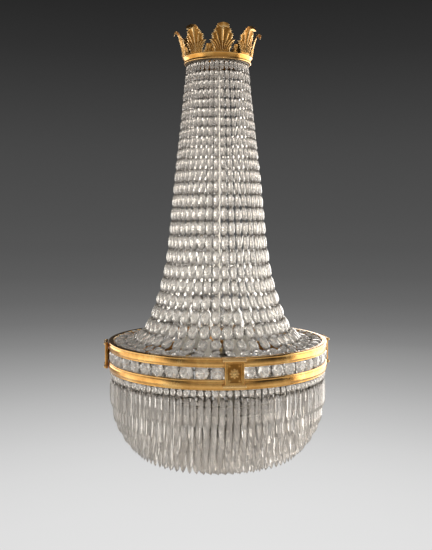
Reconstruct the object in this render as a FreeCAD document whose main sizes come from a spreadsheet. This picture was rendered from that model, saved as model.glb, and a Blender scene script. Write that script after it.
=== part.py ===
import FreeCAD, Part
import math
import os
import Sketcher
from FreeCAD import Placement, Rotation, Vector

# Crystal chandelier of the tent and basket form. All sizes are in millimetres.
# +Z is up, the origin is the centre of the hanging ring, and the front is -Y.

doc = FreeCAD.newDocument("crystal_chandelier")

# Driving dimensions, one plain number each.
SIZES = {
    # hanging ring, eye and the coupler that takes the stem
    "hanging_ring_radius": 14.0,
    "hanging_ring_wire": 2.5,
    "eye_radius": 7.0,
    "eye_wire": 3.0,
    "link_clearance": 0.1,
    "thread_clearance": 0.05,
    "collar_radius": 8.0,
    "collar_height": 4.0,
    "collar_overlap": 1.0,
    "shank_radius": 5.0,
    "shank_gap": 0.5,
    "coupler_radius": 9.5,
    "coupler_height": 22.0,
    "coupler_socket": 14.0,
    # top spider, the hoop that the strands hang from, and the crown
    "top_hub_radius": 14.0,
    "top_hub_height": 9.5,
    "top_arm_rise": 3.4,
    "top_arm_width": 10.0,
    "top_arm_thickness": 4.5,
    "top_arm_gap": 1.0,
    "strand_hoop_width": 9.5,
    "strand_hoop_gap": 0.5,
    "strand_hoop_height": 3.0,
    "crown_inside": 73.0,
    "crown_wall": 4.4,
    "crown_band_height": 14.5,
    "crown_band_flare": 3.0,
    "crown_flange_width": 8.0,
    "crown_flange_height": 3.0,
    "crown_flange_rise": 5.0,
    "crown_screw_inset": 4.5,
    "crown_screw_radius": 2.0,
    "crown_screw_head": 3.6,
    "crown_screw_head_height": 3.0,
    "screw_clearance": 0.2,
    "crown_leaf_count": 8.0,
    "leaf_height": 59.5,
    "leaf_flare": 22.0,
    "leaf_gap": 4.0,
    "leaf_inset": 1.8,
    "leaf_thickness": 2.6,
    "leaf_ridge": 1.2,
    "bud_height": 18.0,
    "bud_flare": 5.0,
    "bud_width": 10.0,
    # stem
    "stem_radius": 6.0,
    "stem_bore": 4.5,
    "inlet_radius": 3.0,
    "inlet_depth": 24.0,
    "nut_width": 20.0,
    "nut_height": 8.0,
    # tent of strands
    "tent_height": 628.2,
    "tent_inset": 4.0,
    "strands_per_side": 10.0,
    "bead_rows": 24.0,
    "lozenge_rows": 2.0,
    "pitch_growth": 1.526,
    "steady_rows": 5.0,
    "growing_rows": 12.0,
    "lozenge_pitch": 1.146,
    "bead_width": 19.5,
    "bead_side_gap": 0.8,
    "bead_depth_share": 0.62,
    "lozenge_width": 24.0,
    "lozenge_depth": 9.0,
    "crystal_gap": 0.5,
    # gilt hoops, stones and plaques
    "hoop_radius": 250.0,
    "hoop_wall": 5.0,
    "hoop_flange_width": 7.0,
    "hoop_flange_height": 3.0,
    "top_hoop_height": 20.0,
    "lower_hoop_height": 22.0,
    "stone_gap": 23.5,
    "stone_edge_gap": 0.7,
    "stone_spacing": 1.2,
    "stone_rise": 5.5,
    "stone_pavilion": 9.0,
    "stone_seat_gap": 1.5,
    "plaque_width": 38.6,
    "plaque_rise": 6.3,
    "plaque_depth": 6.5,
    "plaque_drop": 1.2,
    "cap_width": 48.0,
    "cap_height": 7.0,
    "cap_depth": 9.0,
    "panel_width": 28.0,
    "panel_height": 38.0,
    "panel_depth": 2.5,
    "rosette_radius": 12.0,
    "rosette_depth": 2.0,
    "seat_clearance": 0.3,
    "bracket_width": 22.0,
    "bracket_thickness": 4.0,
    "boss_width": 19.0,
    "boss_gap": 0.75,
    "plaque_screw_radius": 2.0,
    "plaque_screw_head": 3.5,
    "plaque_screw_head_height": 2.5,
    "plaque_screw_length": 12.0,
    "plaque_screw_spacing": 12.0,
    # ring spider and lamps
    "spider_hub_radius": 22.0,
    "spider_hub_height": 9.0,
    "spider_arm_width": 14.0,
    "spider_arm_thickness": 5.0,
    "spider_drop": 49.3,
    "lamp_count": 6.0,
    "lamp_circle": 70.0,
    "lamp_hub_radius": 30.0,
    "lamp_hub_height": 10.0,
    "lamp_arm_width": 9.0,
    "lamp_arm_thickness": 5.0,
    "lamp_pad_radius": 12.0,
    "nipple_radius": 4.0,
    "nipple_bore": 2.8,
    "nipple_length": 16.0,
    "nipple_nut_width": 13.0,
    "nipple_nut_height": 3.5,
    "holder_wall": 4.9,
    "holder_lip": 3.7,
    "holder_floor": 10.0,
    "cap_radius": 8.5,
    "cap_clearance": 0.1,
    "cap_length": 24.0,
    "bulb_radius": 17.5,
    "bulb_length": 84.0,
    "bulb_neck": 5.0,
    "glass_wall": 1.0,
    "block_width": 26.0,
    "block_depth": 10.0,
    "block_height": 13.0,
    "block_circle": 22.0,
    # basket of prisms
    "oval_pitch": 14.64,
    "oval_length": 15.0,
    "oval_width": 9.5,
    "oval_depth": 6.5,
    "prism_set_in": 2.7,
    "first_prism_length": 61.0,
    "prism_length": 75.0,
    "prism_width": 11.5,
    "prism_depth": 7.0,
    "prism_pitch": 15.2,
    "prism_belly": 0.82,
    "tier_hoop_width": 4.0,
    "tier_hoop_height": 2.5,
    "rib_thickness": 4.0,
    "rib_seat": 8.0,
    "rib_depth": 9.0,
    "basket_hub_radius": 24.0,
    "basket_hub_height": 9.0,
    "basket_drop": 153.0,
    "stem_tail": 8.0,
    "bottom_nut_radius": 12.0,
    "bottom_nut_height": 16.0,
}

# Levels and radii that follow from the driving dimensions.
PLACES = {
    "eye_level": "Sizes.hanging_ring_wire - Sizes.hanging_ring_radius + Sizes.link_clearance"
    " - Sizes.eye_radius + Sizes.eye_wire",
    "collar_top": "eye_level - Sizes.eye_radius - Sizes.eye_wire + Sizes.collar_overlap",
    "collar_foot": "collar_top - Sizes.collar_height",
    "top_hub_foot": "collar_foot - Sizes.top_hub_height",
    "top_arm_foot": "top_hub_foot + Sizes.top_arm_rise",
    "top_arm_top": "top_arm_foot + Sizes.top_arm_thickness",
    "strand_hoop_foot": "top_arm_foot - Sizes.strand_hoop_height",
    "crown_foot": "top_arm_top - Sizes.crown_flange_rise",
    "crown_top": "crown_foot + Sizes.crown_band_height",
    "crown_flange_top": "top_arm_top + Sizes.crown_flange_height",
    "coupler_foot": "top_hub_foot - Sizes.coupler_height",
    "stem_top": "coupler_foot + Sizes.coupler_socket",
    "shank_foot": "stem_top + Sizes.shank_gap",
    "top_arm_reach": "Sizes.crown_inside - Sizes.top_arm_gap",
    "strand_hoop_outside": "Sizes.crown_inside - Sizes.strand_hoop_gap",
    "strand_hoop_inside": "strand_hoop_outside - Sizes.strand_hoop_width",
    "crown_outside": "Sizes.crown_inside + Sizes.crown_wall",
    "crown_rim": "crown_outside + Sizes.crown_band_flare",
    "leaf_foot": "crown_rim - Sizes.leaf_inset",
    "crown_flange_inside": "Sizes.crown_inside - Sizes.crown_flange_width",
    "crown_screw_circle": "Sizes.crown_inside - Sizes.crown_screw_inset",
    "tent_top_radius": "Sizes.crown_inside - Sizes.tent_inset",
    "top_hoop_top": "strand_hoop_foot - Sizes.tent_height",
    "top_hoop_foot": "top_hoop_top - Sizes.top_hoop_height",
    "lower_hoop_top": "top_hoop_foot - Sizes.stone_gap",
    "lower_hoop_foot": "lower_hoop_top - Sizes.lower_hoop_height",
    "stone_level": "top_hoop_foot - Sizes.stone_gap / 2",
    "bracket_top": "top_hoop_top - Sizes.hoop_flange_height",
    "bracket_foot": "lower_hoop_foot + Sizes.hoop_flange_height",
    "hoop_inside": "Sizes.hoop_radius - Sizes.hoop_wall",
    "flange_inside": "hoop_inside - Sizes.hoop_flange_width",
    "stone_radius": "(Sizes.stone_gap / 2 - Sizes.stone_edge_gap)"
    " / (1 - Sizes.stone_seat_gap / Sizes.stone_rise)",
    "stone_reach": "hoop_inside - Sizes.stone_seat_gap",
    "boss_height": "Sizes.stone_gap - 2 * Sizes.boss_gap",
    "prism_circle": "hoop_inside - Sizes.prism_set_in",
    "bracket_face": "hoop_inside - 2 * Sizes.seat_clearance",
    "bracket_back": "bracket_face - Sizes.bracket_thickness",
    "plaque_back": "Sizes.hoop_radius + Sizes.seat_clearance",
    "plaque_top": "top_hoop_top - Sizes.plaque_drop",
    "plaque_foot": "lower_hoop_foot + Sizes.plaque_rise",
    "spider_hub_top": "top_hoop_top - Sizes.spider_drop",
    "spider_hub_foot": "spider_hub_top - Sizes.spider_hub_height",
    "lamp_hub_foot": "spider_hub_top + Sizes.nut_height",
    "lamp_hub_top": "lamp_hub_foot + Sizes.lamp_hub_height",
    "lamp_pad_foot": "lamp_hub_top - Sizes.lamp_arm_thickness",
    "holder_floor_top": "lamp_hub_top + Sizes.holder_floor",
    "holder_radius": "Sizes.cap_radius + Sizes.cap_clearance + Sizes.holder_wall",
    "holder_height": "Sizes.holder_floor + Sizes.seat_clearance + Sizes.cap_length"
    " + Sizes.holder_lip",
    "basket_hub_top": "lower_hoop_foot - Sizes.basket_drop",
    "basket_hub_foot": "basket_hub_top - Sizes.basket_hub_height",
    "stem_foot": "basket_hub_foot - Sizes.stem_tail",
}

# Share of the way from the tent's top radius to its foot radius, by share of its depth.
TENT_FLARE = (
    (0.000, 0.000),
    (0.224, 0.082),
    (0.517, 0.191),
    (0.781, 0.316),
    (0.897, 0.447),
    (0.941, 0.513),
    (0.976, 0.590),
    (0.995, 0.700),
    (1.002, 0.820),
    (1.000, 1.000),
)

# Share of the prism circle, and share of the basket's drop, of each inner tier.
TIERS = (
    (0.974, 0.216),
    (0.941, 0.346),
    (0.887, 0.497),
    (0.825, 0.621),
    (0.755, 0.725),
    (0.660, 0.771),
    (0.545, 0.824),
    (0.421, 0.889),
    (0.289, 0.954),
    (0.157, 1.000),
)


def fill_sheet(name, cells):
    """A spreadsheet with a named cell for each entry."""
    sheet = doc.addObject("Spreadsheet::Sheet", name)
    for row, (alias, content) in enumerate(cells.items(), start=1):
        sheet.set("A%d" % row, alias)
        sheet.set("B%d" % row, content)
        sheet.setAlias("B%d" % row, alias)
    doc.recompute()
    return sheet


sizes = fill_sheet("Sizes", {name: str(value) for name, value in SIZES.items()})
places = fill_sheet("Places", {name: "=" + rule for name, rule in PLACES.items()})


def size(name):
    """A driving dimension as the sheet holds it."""
    return float(sizes.get(name))


def place(name):
    """A level or radius as the second sheet works it out."""
    return float(places.get(name))


def count(name):
    """A driving dimension that is a whole number."""
    return int(round(size(name)))


PARTS = []


def new_body(name, level=None):
    """A body for one node, lifted to its level."""
    body = doc.addObject("PartDesign::Body", name)
    body.Label = name
    body.AllowCompound = True
    if level:
        body.setExpression("Placement.Base.z", level)
    PARTS.append(body)
    return body


def origin_of(body, role):
    """One of the body's own origin planes or axes."""
    for feature in body.Origin.OriginFeatures:
        if feature.Role == role:
            return feature
    raise ValueError(role)


def new_sketch(body, role, offset=None):
    """An empty sketch on one of the body's planes, set off along the plane's normal."""
    sketch = body.newObject("Sketcher::SketchObject", body.Name + "_sketch")
    sketch.AttachmentSupport = (origin_of(body, role), [""])
    sketch.MapMode = "FlatFace"
    if offset:
        sketch.setExpression("AttachmentOffset.Base.z", offset)
    return sketch


def pin_point(sketch, edge, end, across, up):
    """Hold one point of the sketch at two expressions."""
    for kind, axis, rule in (("DistanceX", -2, across), ("DistanceY", -1, up)):
        value = float(sketch.evalExpression(rule))
        if abs(value) < 1e-7:
            sketch.addConstraint(Sketcher.Constraint("PointOnObject", edge, end, axis))
        else:
            index = sketch.addConstraint(Sketcher.Constraint(kind, -1, 1, edge, end, value))
            sketch.setExpression("Constraints[%d]" % index, rule)


def outline(body, role, corners, offset=None):
    """A closed outline of straight lines through corners given as pairs of expressions."""
    sketch = new_sketch(body, role, offset)
    spots = [
        Vector(float(sketch.evalExpression(across)), float(sketch.evalExpression(up)), 0)
        for across, up in corners
    ]
    for start, end in zip(spots, spots[1:] + spots[:1]):
        sketch.addGeometry(Part.LineSegment(start, end))
    for edge in range(len(corners)):
        following = (edge + 1) % len(corners)
        sketch.addConstraint(Sketcher.Constraint("Coincident", edge, 2, following, 1))
    for edge, (across, up) in enumerate(corners):
        pin_point(sketch, edge, 1, across, up)
    return sketch


def rectangle(body, role, width, low, high, offset=None):
    """A rectangle centred on the upright axis, between two heights."""
    half = "(%s) / 2" % width
    corners = [("-" + half, low), (half, low), (half, high), ("-" + half, high)]
    return outline(body, role, corners, offset)


def circles(body, role, rings, offset=None):
    """Circles given as (across, up, radius) expressions."""
    sketch = new_sketch(body, role, offset)
    for across, up, radius in rings:
        centre = Vector(float(sketch.evalExpression(across)), float(sketch.evalExpression(up)), 0)
        value = float(sketch.evalExpression(radius))
        edge = sketch.addGeometry(Part.Circle(centre, Vector(0, 0, 1), value))
        index = sketch.addConstraint(Sketcher.Constraint("Radius", edge, value))
        sketch.setExpression("Constraints[%d]" % index, radius)
        pin_point(sketch, edge, 3, across, up)
    return sketch


def hexagon(body, width, offset=None):
    """A hexagon about the upright axis, given by its width across flats."""
    corners = []
    for corner in range(6):
        angle = math.radians(60 * corner)
        reach = "(%s) / %.9f" % (width, math.sqrt(3))
        corners.append(
            ("%s * %.9f" % (reach, math.cos(angle)), "%s * %.9f" % (reach, math.sin(angle)))
        )
    return outline(body, "XY_Plane", corners, offset)


def pad(body, sketch, length, middle=False):
    """Material of the given thickness on a sketch."""
    feature = body.newObject("PartDesign::Pad", body.Name + "_pad")
    feature.Profile = sketch
    feature.setExpression("Length", length)
    feature.Midplane = middle
    return feature


def pocket(body, sketch, depth, outward=False):
    """A cut of the given depth from a sketch, against or along the plane's normal."""
    feature = body.newObject("PartDesign::Pocket", body.Name + "_pocket")
    feature.Profile = sketch
    feature.setExpression("Length", depth)
    feature.Reversed = outward
    return feature


def turned(body, corners):
    """A lathe-turned solid from an outline of (radius, height) expressions."""
    sketch = outline(body, "XZ_Plane", corners)
    feature = body.newObject("PartDesign::Revolution", body.Name + "_revolution")
    feature.Profile = sketch
    feature.ReferenceAxis = (sketch, ["V_Axis"])
    feature.Angle = 360
    return feature


def around(body, features, number):
    """Copies of features spaced evenly about the upright axis."""
    feature = body.newObject("PartDesign::PolarPattern", body.Name + "_pattern")
    feature.Originals = features
    feature.Axis = (origin_of(body, "Z_Axis"), [""])
    feature.Angle = 360
    feature.setExpression("Occurrences", number)
    body.Tip = feature
    return feature


def add_solid(name, shape):
    """A node whose shape is worked out by the functions below."""
    feature = doc.addObject("Part::Feature", name)
    feature.Label = name
    feature.Shape = shape
    feature.Placement = Placement()
    PARTS.append(feature)
    return feature


# ---------------------------------------------------------------- suspension

def make_hanging_ring():
    """Round ring that goes over the ceiling hook and swings in the eye."""
    ring = doc.addObject("Part::Torus", "hanging_ring")
    ring.Label = "hanging_ring"
    ring.setExpression("Radius1", "Sizes.hanging_ring_radius")
    ring.setExpression("Radius2", "Sizes.hanging_ring_wire")
    ring.Placement = Placement(Vector(), Rotation(Vector(1, 0, 0), 90))
    PARTS.append(ring)


def make_suspension_eye():
    """Forged eye with a collar that clamps the top spider and a threaded shank."""
    eye = doc.addObject("Part::Torus", "eye_loop")
    eye.setExpression("Radius1", "Sizes.eye_radius")
    eye.setExpression("Radius2", "Sizes.eye_wire")
    eye.Placement = Placement(Vector(), Rotation(Vector(0, 1, 0), 90))
    eye.setExpression("Placement.Base.z", "Places.eye_level")
    collar = doc.addObject("Part::Cylinder", "eye_collar")
    collar.setExpression("Radius", "Sizes.collar_radius")
    collar.setExpression("Height", "Sizes.collar_height")
    collar.setExpression("Placement.Base.z", "Places.collar_foot")
    shank = doc.addObject("Part::Cylinder", "eye_shank")
    shank.setExpression("Radius", "Sizes.shank_radius")
    shank.setExpression("Height", "Places.collar_foot - Places.shank_foot")
    shank.setExpression("Placement.Base.z", "Places.shank_foot")
    whole = doc.addObject("Part::MultiFuse", "suspension_eye")
    whole.Label = "suspension_eye"
    whole.Shapes = [eye, collar, shank]
    PARTS.append(whole)


def make_stem_coupler():
    """Turned barrel that joins the eye's shank to the hollow stem."""
    body = new_body("stem_coupler", "Places.coupler_foot")
    socket = "Sizes.stem_radius + Sizes.thread_clearance"
    thread = "Sizes.shank_radius + Sizes.thread_clearance"
    turned(body, [
        (socket, "0"),
        ("Sizes.coupler_radius - 1", "0"),
        ("Sizes.coupler_radius", "1"),
        ("Sizes.coupler_radius", "Sizes.coupler_height"),
        (thread, "Sizes.coupler_height"),
        (thread, "Sizes.coupler_socket"),
        (socket, "Sizes.coupler_socket"),
    ])


def make_central_stem():
    """Hollow stem from the coupler to the basket hub, with a cross hole for the supply."""
    body = new_body("central_stem", "Places.stem_foot")
    length = "Places.stem_top - Places.stem_foot"
    tube = circles(body, "XY_Plane", [("0", "0", "Sizes.stem_radius"), ("0", "0", "Sizes.stem_bore")])
    pad(body, tube, length)
    hole_level = "%s - Sizes.coupler_socket - Sizes.inlet_depth" % length
    hole = circles(body, "XZ_Plane", [("0", hole_level, "Sizes.inlet_radius")])
    pocket(body, hole, "Sizes.stem_radius + 1", outward=True)


def make_nut(name, level, width="Sizes.nut_width", height="Sizes.nut_height"):
    """Hexagon nut on the stem."""
    body = new_body(name, level)
    pad(body, hexagon(body, width), height)
    bore = circles(body, "XY_Plane", [("0", "0", "Sizes.stem_radius + Sizes.thread_clearance")], height)
    pocket(body, bore, height)


# ---------------------------------------------------------------- crown

def make_top_spider():
    """Hub with four flat arms that lie on the strand hoop."""
    body = new_body("top_spider", "Places.top_hub_foot")
    pad(body, circles(body, "XY_Plane", [("0", "0", "Sizes.top_hub_radius")]), "Sizes.top_hub_height")
    half = "Sizes.top_arm_width / 2"
    arm = outline(body, "XY_Plane", [
        ("0", "-" + half),
        ("Places.top_arm_reach", "-" + half),
        ("Places.top_arm_reach", half),
        ("0", half),
    ], "Sizes.top_arm_rise")
    arm_pad = pad(body, arm, "Sizes.top_arm_thickness")
    hole_radius = "Sizes.crown_screw_radius + Sizes.screw_clearance"
    hole = circles(body, "XY_Plane", [("Places.crown_screw_circle", "0", hole_radius)],
                   "Sizes.top_arm_rise + Sizes.top_arm_thickness")
    hole_cut = pocket(body, hole, "Sizes.top_arm_thickness")
    around(body, [arm_pad, hole_cut], "4")
    bore = circles(body, "XY_Plane", [("0", "0", "Sizes.shank_radius + Sizes.thread_clearance")],
                   "Sizes.top_hub_height")
    pocket(body, bore, "Sizes.top_hub_height")


def make_strand_hoop():
    """Flat hoop under the crown that the strands hang from."""
    body = new_body("strand_hoop", "Places.strand_hoop_foot")
    ring = circles(body, "XY_Plane", [
        ("0", "0", "Places.strand_hoop_outside"),
        ("0", "0", "Places.strand_hoop_inside"),
    ])
    pad(body, ring, "Sizes.strand_hoop_height")
    hole_radius = "Sizes.crown_screw_radius + Sizes.thread_clearance"
    hole = circles(body, "XY_Plane", [("Places.crown_screw_circle", "0", hole_radius)],
                   "Sizes.strand_hoop_height")
    around(body, [pocket(body, hole, "Sizes.strand_hoop_height")], "4")


def make_crown_band():
    """Flared gilt band of the crown, with an inner flange that rests on the spider."""
    body = new_body("crown_band", "Places.crown_foot")
    outside = "Places.crown_outside"
    height = "Sizes.crown_band_height"
    flange_top = "Sizes.crown_flange_rise + Sizes.crown_flange_height"
    turned(body, [
        ("Sizes.crown_inside", "0"),
        (outside + " - 1", "0"),
        (outside, "1.4"),
        (outside, "3.2"),
        (outside + " - 0.8", "4.4"),
        ("Places.crown_rim - 1", height + " - 3"),
        ("Places.crown_rim", height + " - 1.6"),
        ("Places.crown_rim", height),
        ("Sizes.crown_inside", height),
        ("Sizes.crown_inside", flange_top),
        ("Places.crown_flange_inside", flange_top),
        ("Places.crown_flange_inside", "Sizes.crown_flange_rise"),
        ("Sizes.crown_inside", "Sizes.crown_flange_rise"),
    ])
    hole_radius = "Sizes.crown_screw_radius + Sizes.screw_clearance"
    hole = circles(body, "XY_Plane", [("Places.crown_screw_circle", "0", hole_radius)], flange_top)
    around(body, [pocket(body, hole, "Sizes.crown_flange_height")], "4")


def make_crown_screws():
    """Four screws that clamp crown, spider and strand hoop together."""
    body = new_body("crown_screws", "Places.crown_flange_top")
    spot = ("Places.crown_screw_circle", "0")
    head = pad(body, circles(body, "XY_Plane", [spot + ("Sizes.crown_screw_head",)]),
               "Sizes.crown_screw_head_height")
    length = "Places.crown_flange_top - Places.strand_hoop_foot"
    shank_ring = circles(body, "XY_Plane", [spot + ("Sizes.crown_screw_radius",)], "-(%s)" % length)
    shank = pad(body, shank_ring, length)
    around(body, [head, shank], "4")


def leaf_section(spot, half_width, lean):
    """Six-cornered cross-section that follows the crown's curve, with a raised midrib."""
    back_set = half_width ** 2 / (2 * spot.x)
    half = size("leaf_thickness") / 2
    ridge = size("leaf_ridge")
    corners = [
        Vector(half - back_set, -half_width, 0),
        Vector(half + ridge, 0, 0),
        Vector(half - back_set, half_width, 0),
        Vector(-half - back_set, half_width, 0),
        Vector(-half, 0, 0),
        Vector(-half - back_set, -half_width, 0),
    ]
    turn = Rotation(Vector(0, 1, 0), lean)
    corners = [spot + turn.multVec(corner) for corner in corners]
    return Part.makePolygon(corners + corners[:1])


# Stations from foot to tip: flare share, height share, width share, lean in degrees.
LEAF = (
    (0.00, 0.00, 0.72, 0),
    (0.05, 0.10, 0.76, 8),
    (0.10, 0.22, 0.80, 9),
    (0.14, 0.33, 0.92, 9),
    (0.17, 0.40, 1.00, 10),
    (0.22, 0.48, 0.84, 13),
    (0.29, 0.58, 0.89, 15),
    (0.35, 0.66, 0.72, 15),
    (0.42, 0.76, 0.70, 17),
    (0.52, 0.87, 0.55, 22),
    (0.62, 0.95, 0.46, 34),
    (0.75, 1.00, 0.40, 75),
    (0.90, 0.97, 0.33, 120),
    (0.98, 0.89, 0.24, 150),
    (1.00, 0.81, 0.12, 172),
)
BUD = (
    (0.00, 0.00, 1.00, 0),
    (0.10, 0.40, 0.70, 4),
    (0.40, 0.75, 1.00, 15),
    (1.00, 1.00, 0.40, 40),
)


def leaf(stations, height, flare, width):
    """Cast leaf lofted through its stations, straight between them."""
    base = place("leaf_foot")
    sections = [
        leaf_section(Vector(base + flare * out, 0, place("crown_top") + height * up),
                     width * share / 2, lean)
        for out, up, share, lean in stations
    ]
    return Part.makeLoft(sections, True, True)


def turned_copies(shape, number, first=0.0):
    """Copies of a shape at equal angles about the upright axis."""
    copies = []
    for step in range(number):
        copy = shape.copy()
        copy.rotate(Vector(), Vector(0, 0, 1), first + 360.0 * step / number)
        copies.append(copy)
    return copies


def make_crown_leaves():
    """Eight broad acanthus leaves with curled tips, and eight buds between their feet."""
    number = count("crown_leaf_count")
    width = 2 * math.pi * place("leaf_foot") / number - size("leaf_gap")
    tall = leaf(LEAF, size("leaf_height"), size("leaf_flare"), width)
    add_solid("crown_leaves", Part.makeCompound(turned_copies(tall, number)))
    short = leaf(BUD, size("bud_height"), size("bud_flare"), size("bud_width"))
    between = 180.0 / number
    add_solid("crown_buds", Part.makeCompound(turned_copies(short, number, between)))


# ---------------------------------------------------------------- crystals

def cut_crystal(length, width, depth, belly, sides, first=0.0):
    """Faceted drop hanging from the origin along -Z: two pyramids on a shared girdle."""
    top = Vector(0, 0, 0)
    tip = Vector(0, 0, -length)
    girdle = []
    for corner in range(sides):
        angle = math.radians(first + 360.0 * corner / sides)
        girdle.append(
            Vector(depth / 2 * math.cos(angle), width / 2 * math.sin(angle), -length * belly)
        )
    faces = []
    for start, end in zip(girdle, girdle[1:] + girdle[:1]):
        faces.append(Part.Face(Part.makePolygon([top, start, end, top])))
        faces.append(Part.Face(Part.makePolygon([tip, end, start, tip])))
    solid = Part.makeSolid(Part.makeShell(faces))
    if solid.Volume < 0:
        solid.reverse()
    return solid


def olive(length, width, depth):
    """Faceted olive hanging from the origin along -Z: full at the middle, blunt at the ends."""
    shoulder = 0.12
    rings = []
    for drop, share in ((shoulder, 0.62), (0.5, 1.0), (1 - shoulder, 0.62)):
        rings.append([
            Vector(depth / 2 * share, 0, -length * drop),
            Vector(0, width / 2 * share, -length * drop),
            Vector(-depth / 2 * share, 0, -length * drop),
            Vector(0, -width / 2 * share, -length * drop),
        ])
    top = Vector(0, 0, 0)
    tip = Vector(0, 0, -length)
    faces = []
    for start, end in ((0, 1), (1, 2), (2, 3), (3, 0)):
        faces.append(Part.Face(Part.makePolygon([top, rings[0][start], rings[0][end], top])))
        faces.append(Part.Face(Part.makePolygon([tip, rings[2][end], rings[2][start], tip])))
        for upper, lower in zip(rings, rings[1:]):
            corners = [upper[start], lower[start], lower[end], upper[end], upper[start]]
            faces.append(Part.Face(Part.makePolygon(corners)))
    solid = Part.makeSolid(Part.makeShell(faces))
    if solid.Volume < 0:
        solid.reverse()
    return solid


def hung(crystal, reach, level, lean, azimuth):
    """A crystal hung at a radius and a level, leaned outward and turned to its azimuth."""
    copy = crystal.copy()
    spot = Vector(reach, 0, level)
    turn = Rotation(Vector(0, 0, 1), azimuth)
    copy.Placement = Placement(turn.multVec(spot), turn.multiply(Rotation(Vector(0, 1, 0), -lean)))
    return copy


def tent_curve():
    """Curve of one strand from the strand hoop to the top hoop's flange."""
    top = place("strand_hoop_foot") - size("crystal_gap")
    foot = place("top_hoop_top") - size("hoop_flange_height") / 2
    start = place("tent_top_radius")
    end = place("flange_inside") - size("crystal_gap")
    curve = Part.BSplineCurve()
    curve.interpolate([
        Vector(start + (end - start) * out, 0, top + (foot - top) * down) for down, out in TENT_FLARE
    ])
    return curve


def strand_rows():
    """Start, length and lean of each crystal of a strand.

    Rows keep one pitch at first, grow smoothly to a longer one, and end in shorter lozenges.
    """
    curve = tent_curve()
    growth = size("pitch_growth")
    weights = []
    for row in range(count("bead_rows")):
        share = min(1.0, max(0.0, (row - size("steady_rows")) / size("growing_rows")))
        weights.append(1 + (growth - 1) * share ** 2 * (3 - 2 * share))
    weights += [size("lozenge_pitch")] * count("lozenge_rows")
    unit = curve.length() / sum(weights)
    marks = [0.0]
    for weight in weights:
        marks.append(marks[-1] + weight * unit)
    spots = [curve.value(curve.parameterAtDistance(mark, curve.FirstParameter)) for mark in marks]
    result = []
    for start, end in zip(spots, spots[1:]):
        run = end - start
        lean = math.degrees(math.atan2(run.x, -run.z))
        result.append((start, run.Length - size("crystal_gap"), lean, (start.x + end.x) / 2))
    return result


def make_strands():
    """Tent of faceted beads, a quarter of its strands to a node, and its lozenge rows."""
    side_names = ("right", "back", "left", "front")
    quarter = count("strands_per_side")
    strands = quarter * len(side_names)
    beads = []
    for start, length, lean, reach in strand_rows():
        room = 2 * math.pi * reach / strands - size("bead_side_gap")
        beads.append((start, length, lean, min(size("bead_width"), room)))
    for side, side_name in enumerate(side_names):
        solids = []
        for strand in range(quarter):
            azimuth = 360.0 * (side * quarter + strand) / strands
            for start, length, lean, width in beads[: count("bead_rows")]:
                depth = width * size("bead_depth_share")
                bead = olive(length, width, depth)
                solids.append(hung(bead, start.x, start.z, lean, azimuth))
        add_solid("strands_" + side_name, Part.makeCompound(solids))
    solids = []
    for start, length, lean, width in beads[count("bead_rows"):]:
        lozenge = olive(length, size("lozenge_width"), size("lozenge_depth"))
        for strand in range(strands):
            solids.append(hung(lozenge, start.x, start.z, lean, 360.0 * strand / strands))
    add_solid("edge_lozenges", Part.makeCompound(solids))


def make_band_stones():
    """Round faceted stones between the hoops, each a low dome over a deep back."""
    rise = size("stone_rise")
    depth = rise + size("stone_pavilion")
    width = 2 * place("stone_radius")
    stone = cut_crystal(depth, width, width, rise / depth, 8)
    quarter = math.pi / 2 * place("stone_reach")
    per_side = int(quarter / (width + size("stone_spacing"))) - 1
    step = 90.0 / (per_side + 1)
    reach = place("stone_reach") + rise
    solids = []
    for side in range(4):
        for number in range(1, per_side + 1):
            azimuth = 90.0 * side + step * number
            solids.append(hung(stone, reach, place("stone_level"), -90, azimuth))
    add_solid("band_stones", Part.makeCompound(solids))


def make_first_tier():
    """Row of small ovals under the lower hoop and the outer row of prisms."""
    reach = place("prism_circle")
    number = 4 * round(2 * math.pi * reach / size("oval_pitch") / 4)
    gap = size("crystal_gap")
    oval = olive(size("oval_length"), size("oval_width"), size("oval_depth"))
    level = place("lower_hoop_foot") - gap
    prism = cut_crystal(
        size("first_prism_length"), size("prism_width"), size("prism_depth"), size("prism_belly"), 3
    )
    prism_level = level - size("oval_length") - gap
    ovals = []
    prisms = []
    for step in range(number):
        azimuth = 360.0 * (step + 0.5) / number
        ovals.append(hung(oval, reach, level, 0, azimuth))
        prisms.append(hung(prism, reach, prism_level, 0, azimuth))
    add_solid("hoop_ovals", Part.makeCompound(ovals))
    add_solid("prisms_tier_01", Part.makeCompound(prisms))


def tier_place(tier):
    """Radius and top level of an inner tier's hoop."""
    share, drop = TIERS[tier]
    return place("prism_circle") * share, place("lower_hoop_foot") - size("basket_drop") * drop


def make_inner_tiers():
    """Concentric rows of prisms that close the basket, and the hoops that they hang from."""
    prism = cut_crystal(
        size("prism_length"), size("prism_width"), size("prism_depth"), size("prism_belly"), 3
    )
    hoop_height = size("tier_hoop_height")
    hoops = []
    for tier in range(len(TIERS)):
        reach, level = tier_place(tier)
        quarter = round(2 * math.pi * reach / size("prism_pitch") / 4)
        number = 4 * quarter
        top = level - hoop_height - size("crystal_gap")
        solids = [hung(prism, reach, top, 0, 360.0 * (step + 0.5) / number) for step in range(number)]
        add_solid("prisms_tier_%02d" % (tier + 2), Part.makeCompound(solids))
        outer = Part.makeCylinder(reach + size("tier_hoop_width") / 2, hoop_height)
        inner = Part.makeCylinder(reach - size("tier_hoop_width") / 2, hoop_height)
        hoop = outer.cut(inner)
        hoop.translate(Vector(0, 0, level - hoop_height))
        hoops.append(hoop)
    add_solid("tier_hoops", Part.makeCompound(hoops))


# ---------------------------------------------------------------- gilt hoops and plaques

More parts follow.
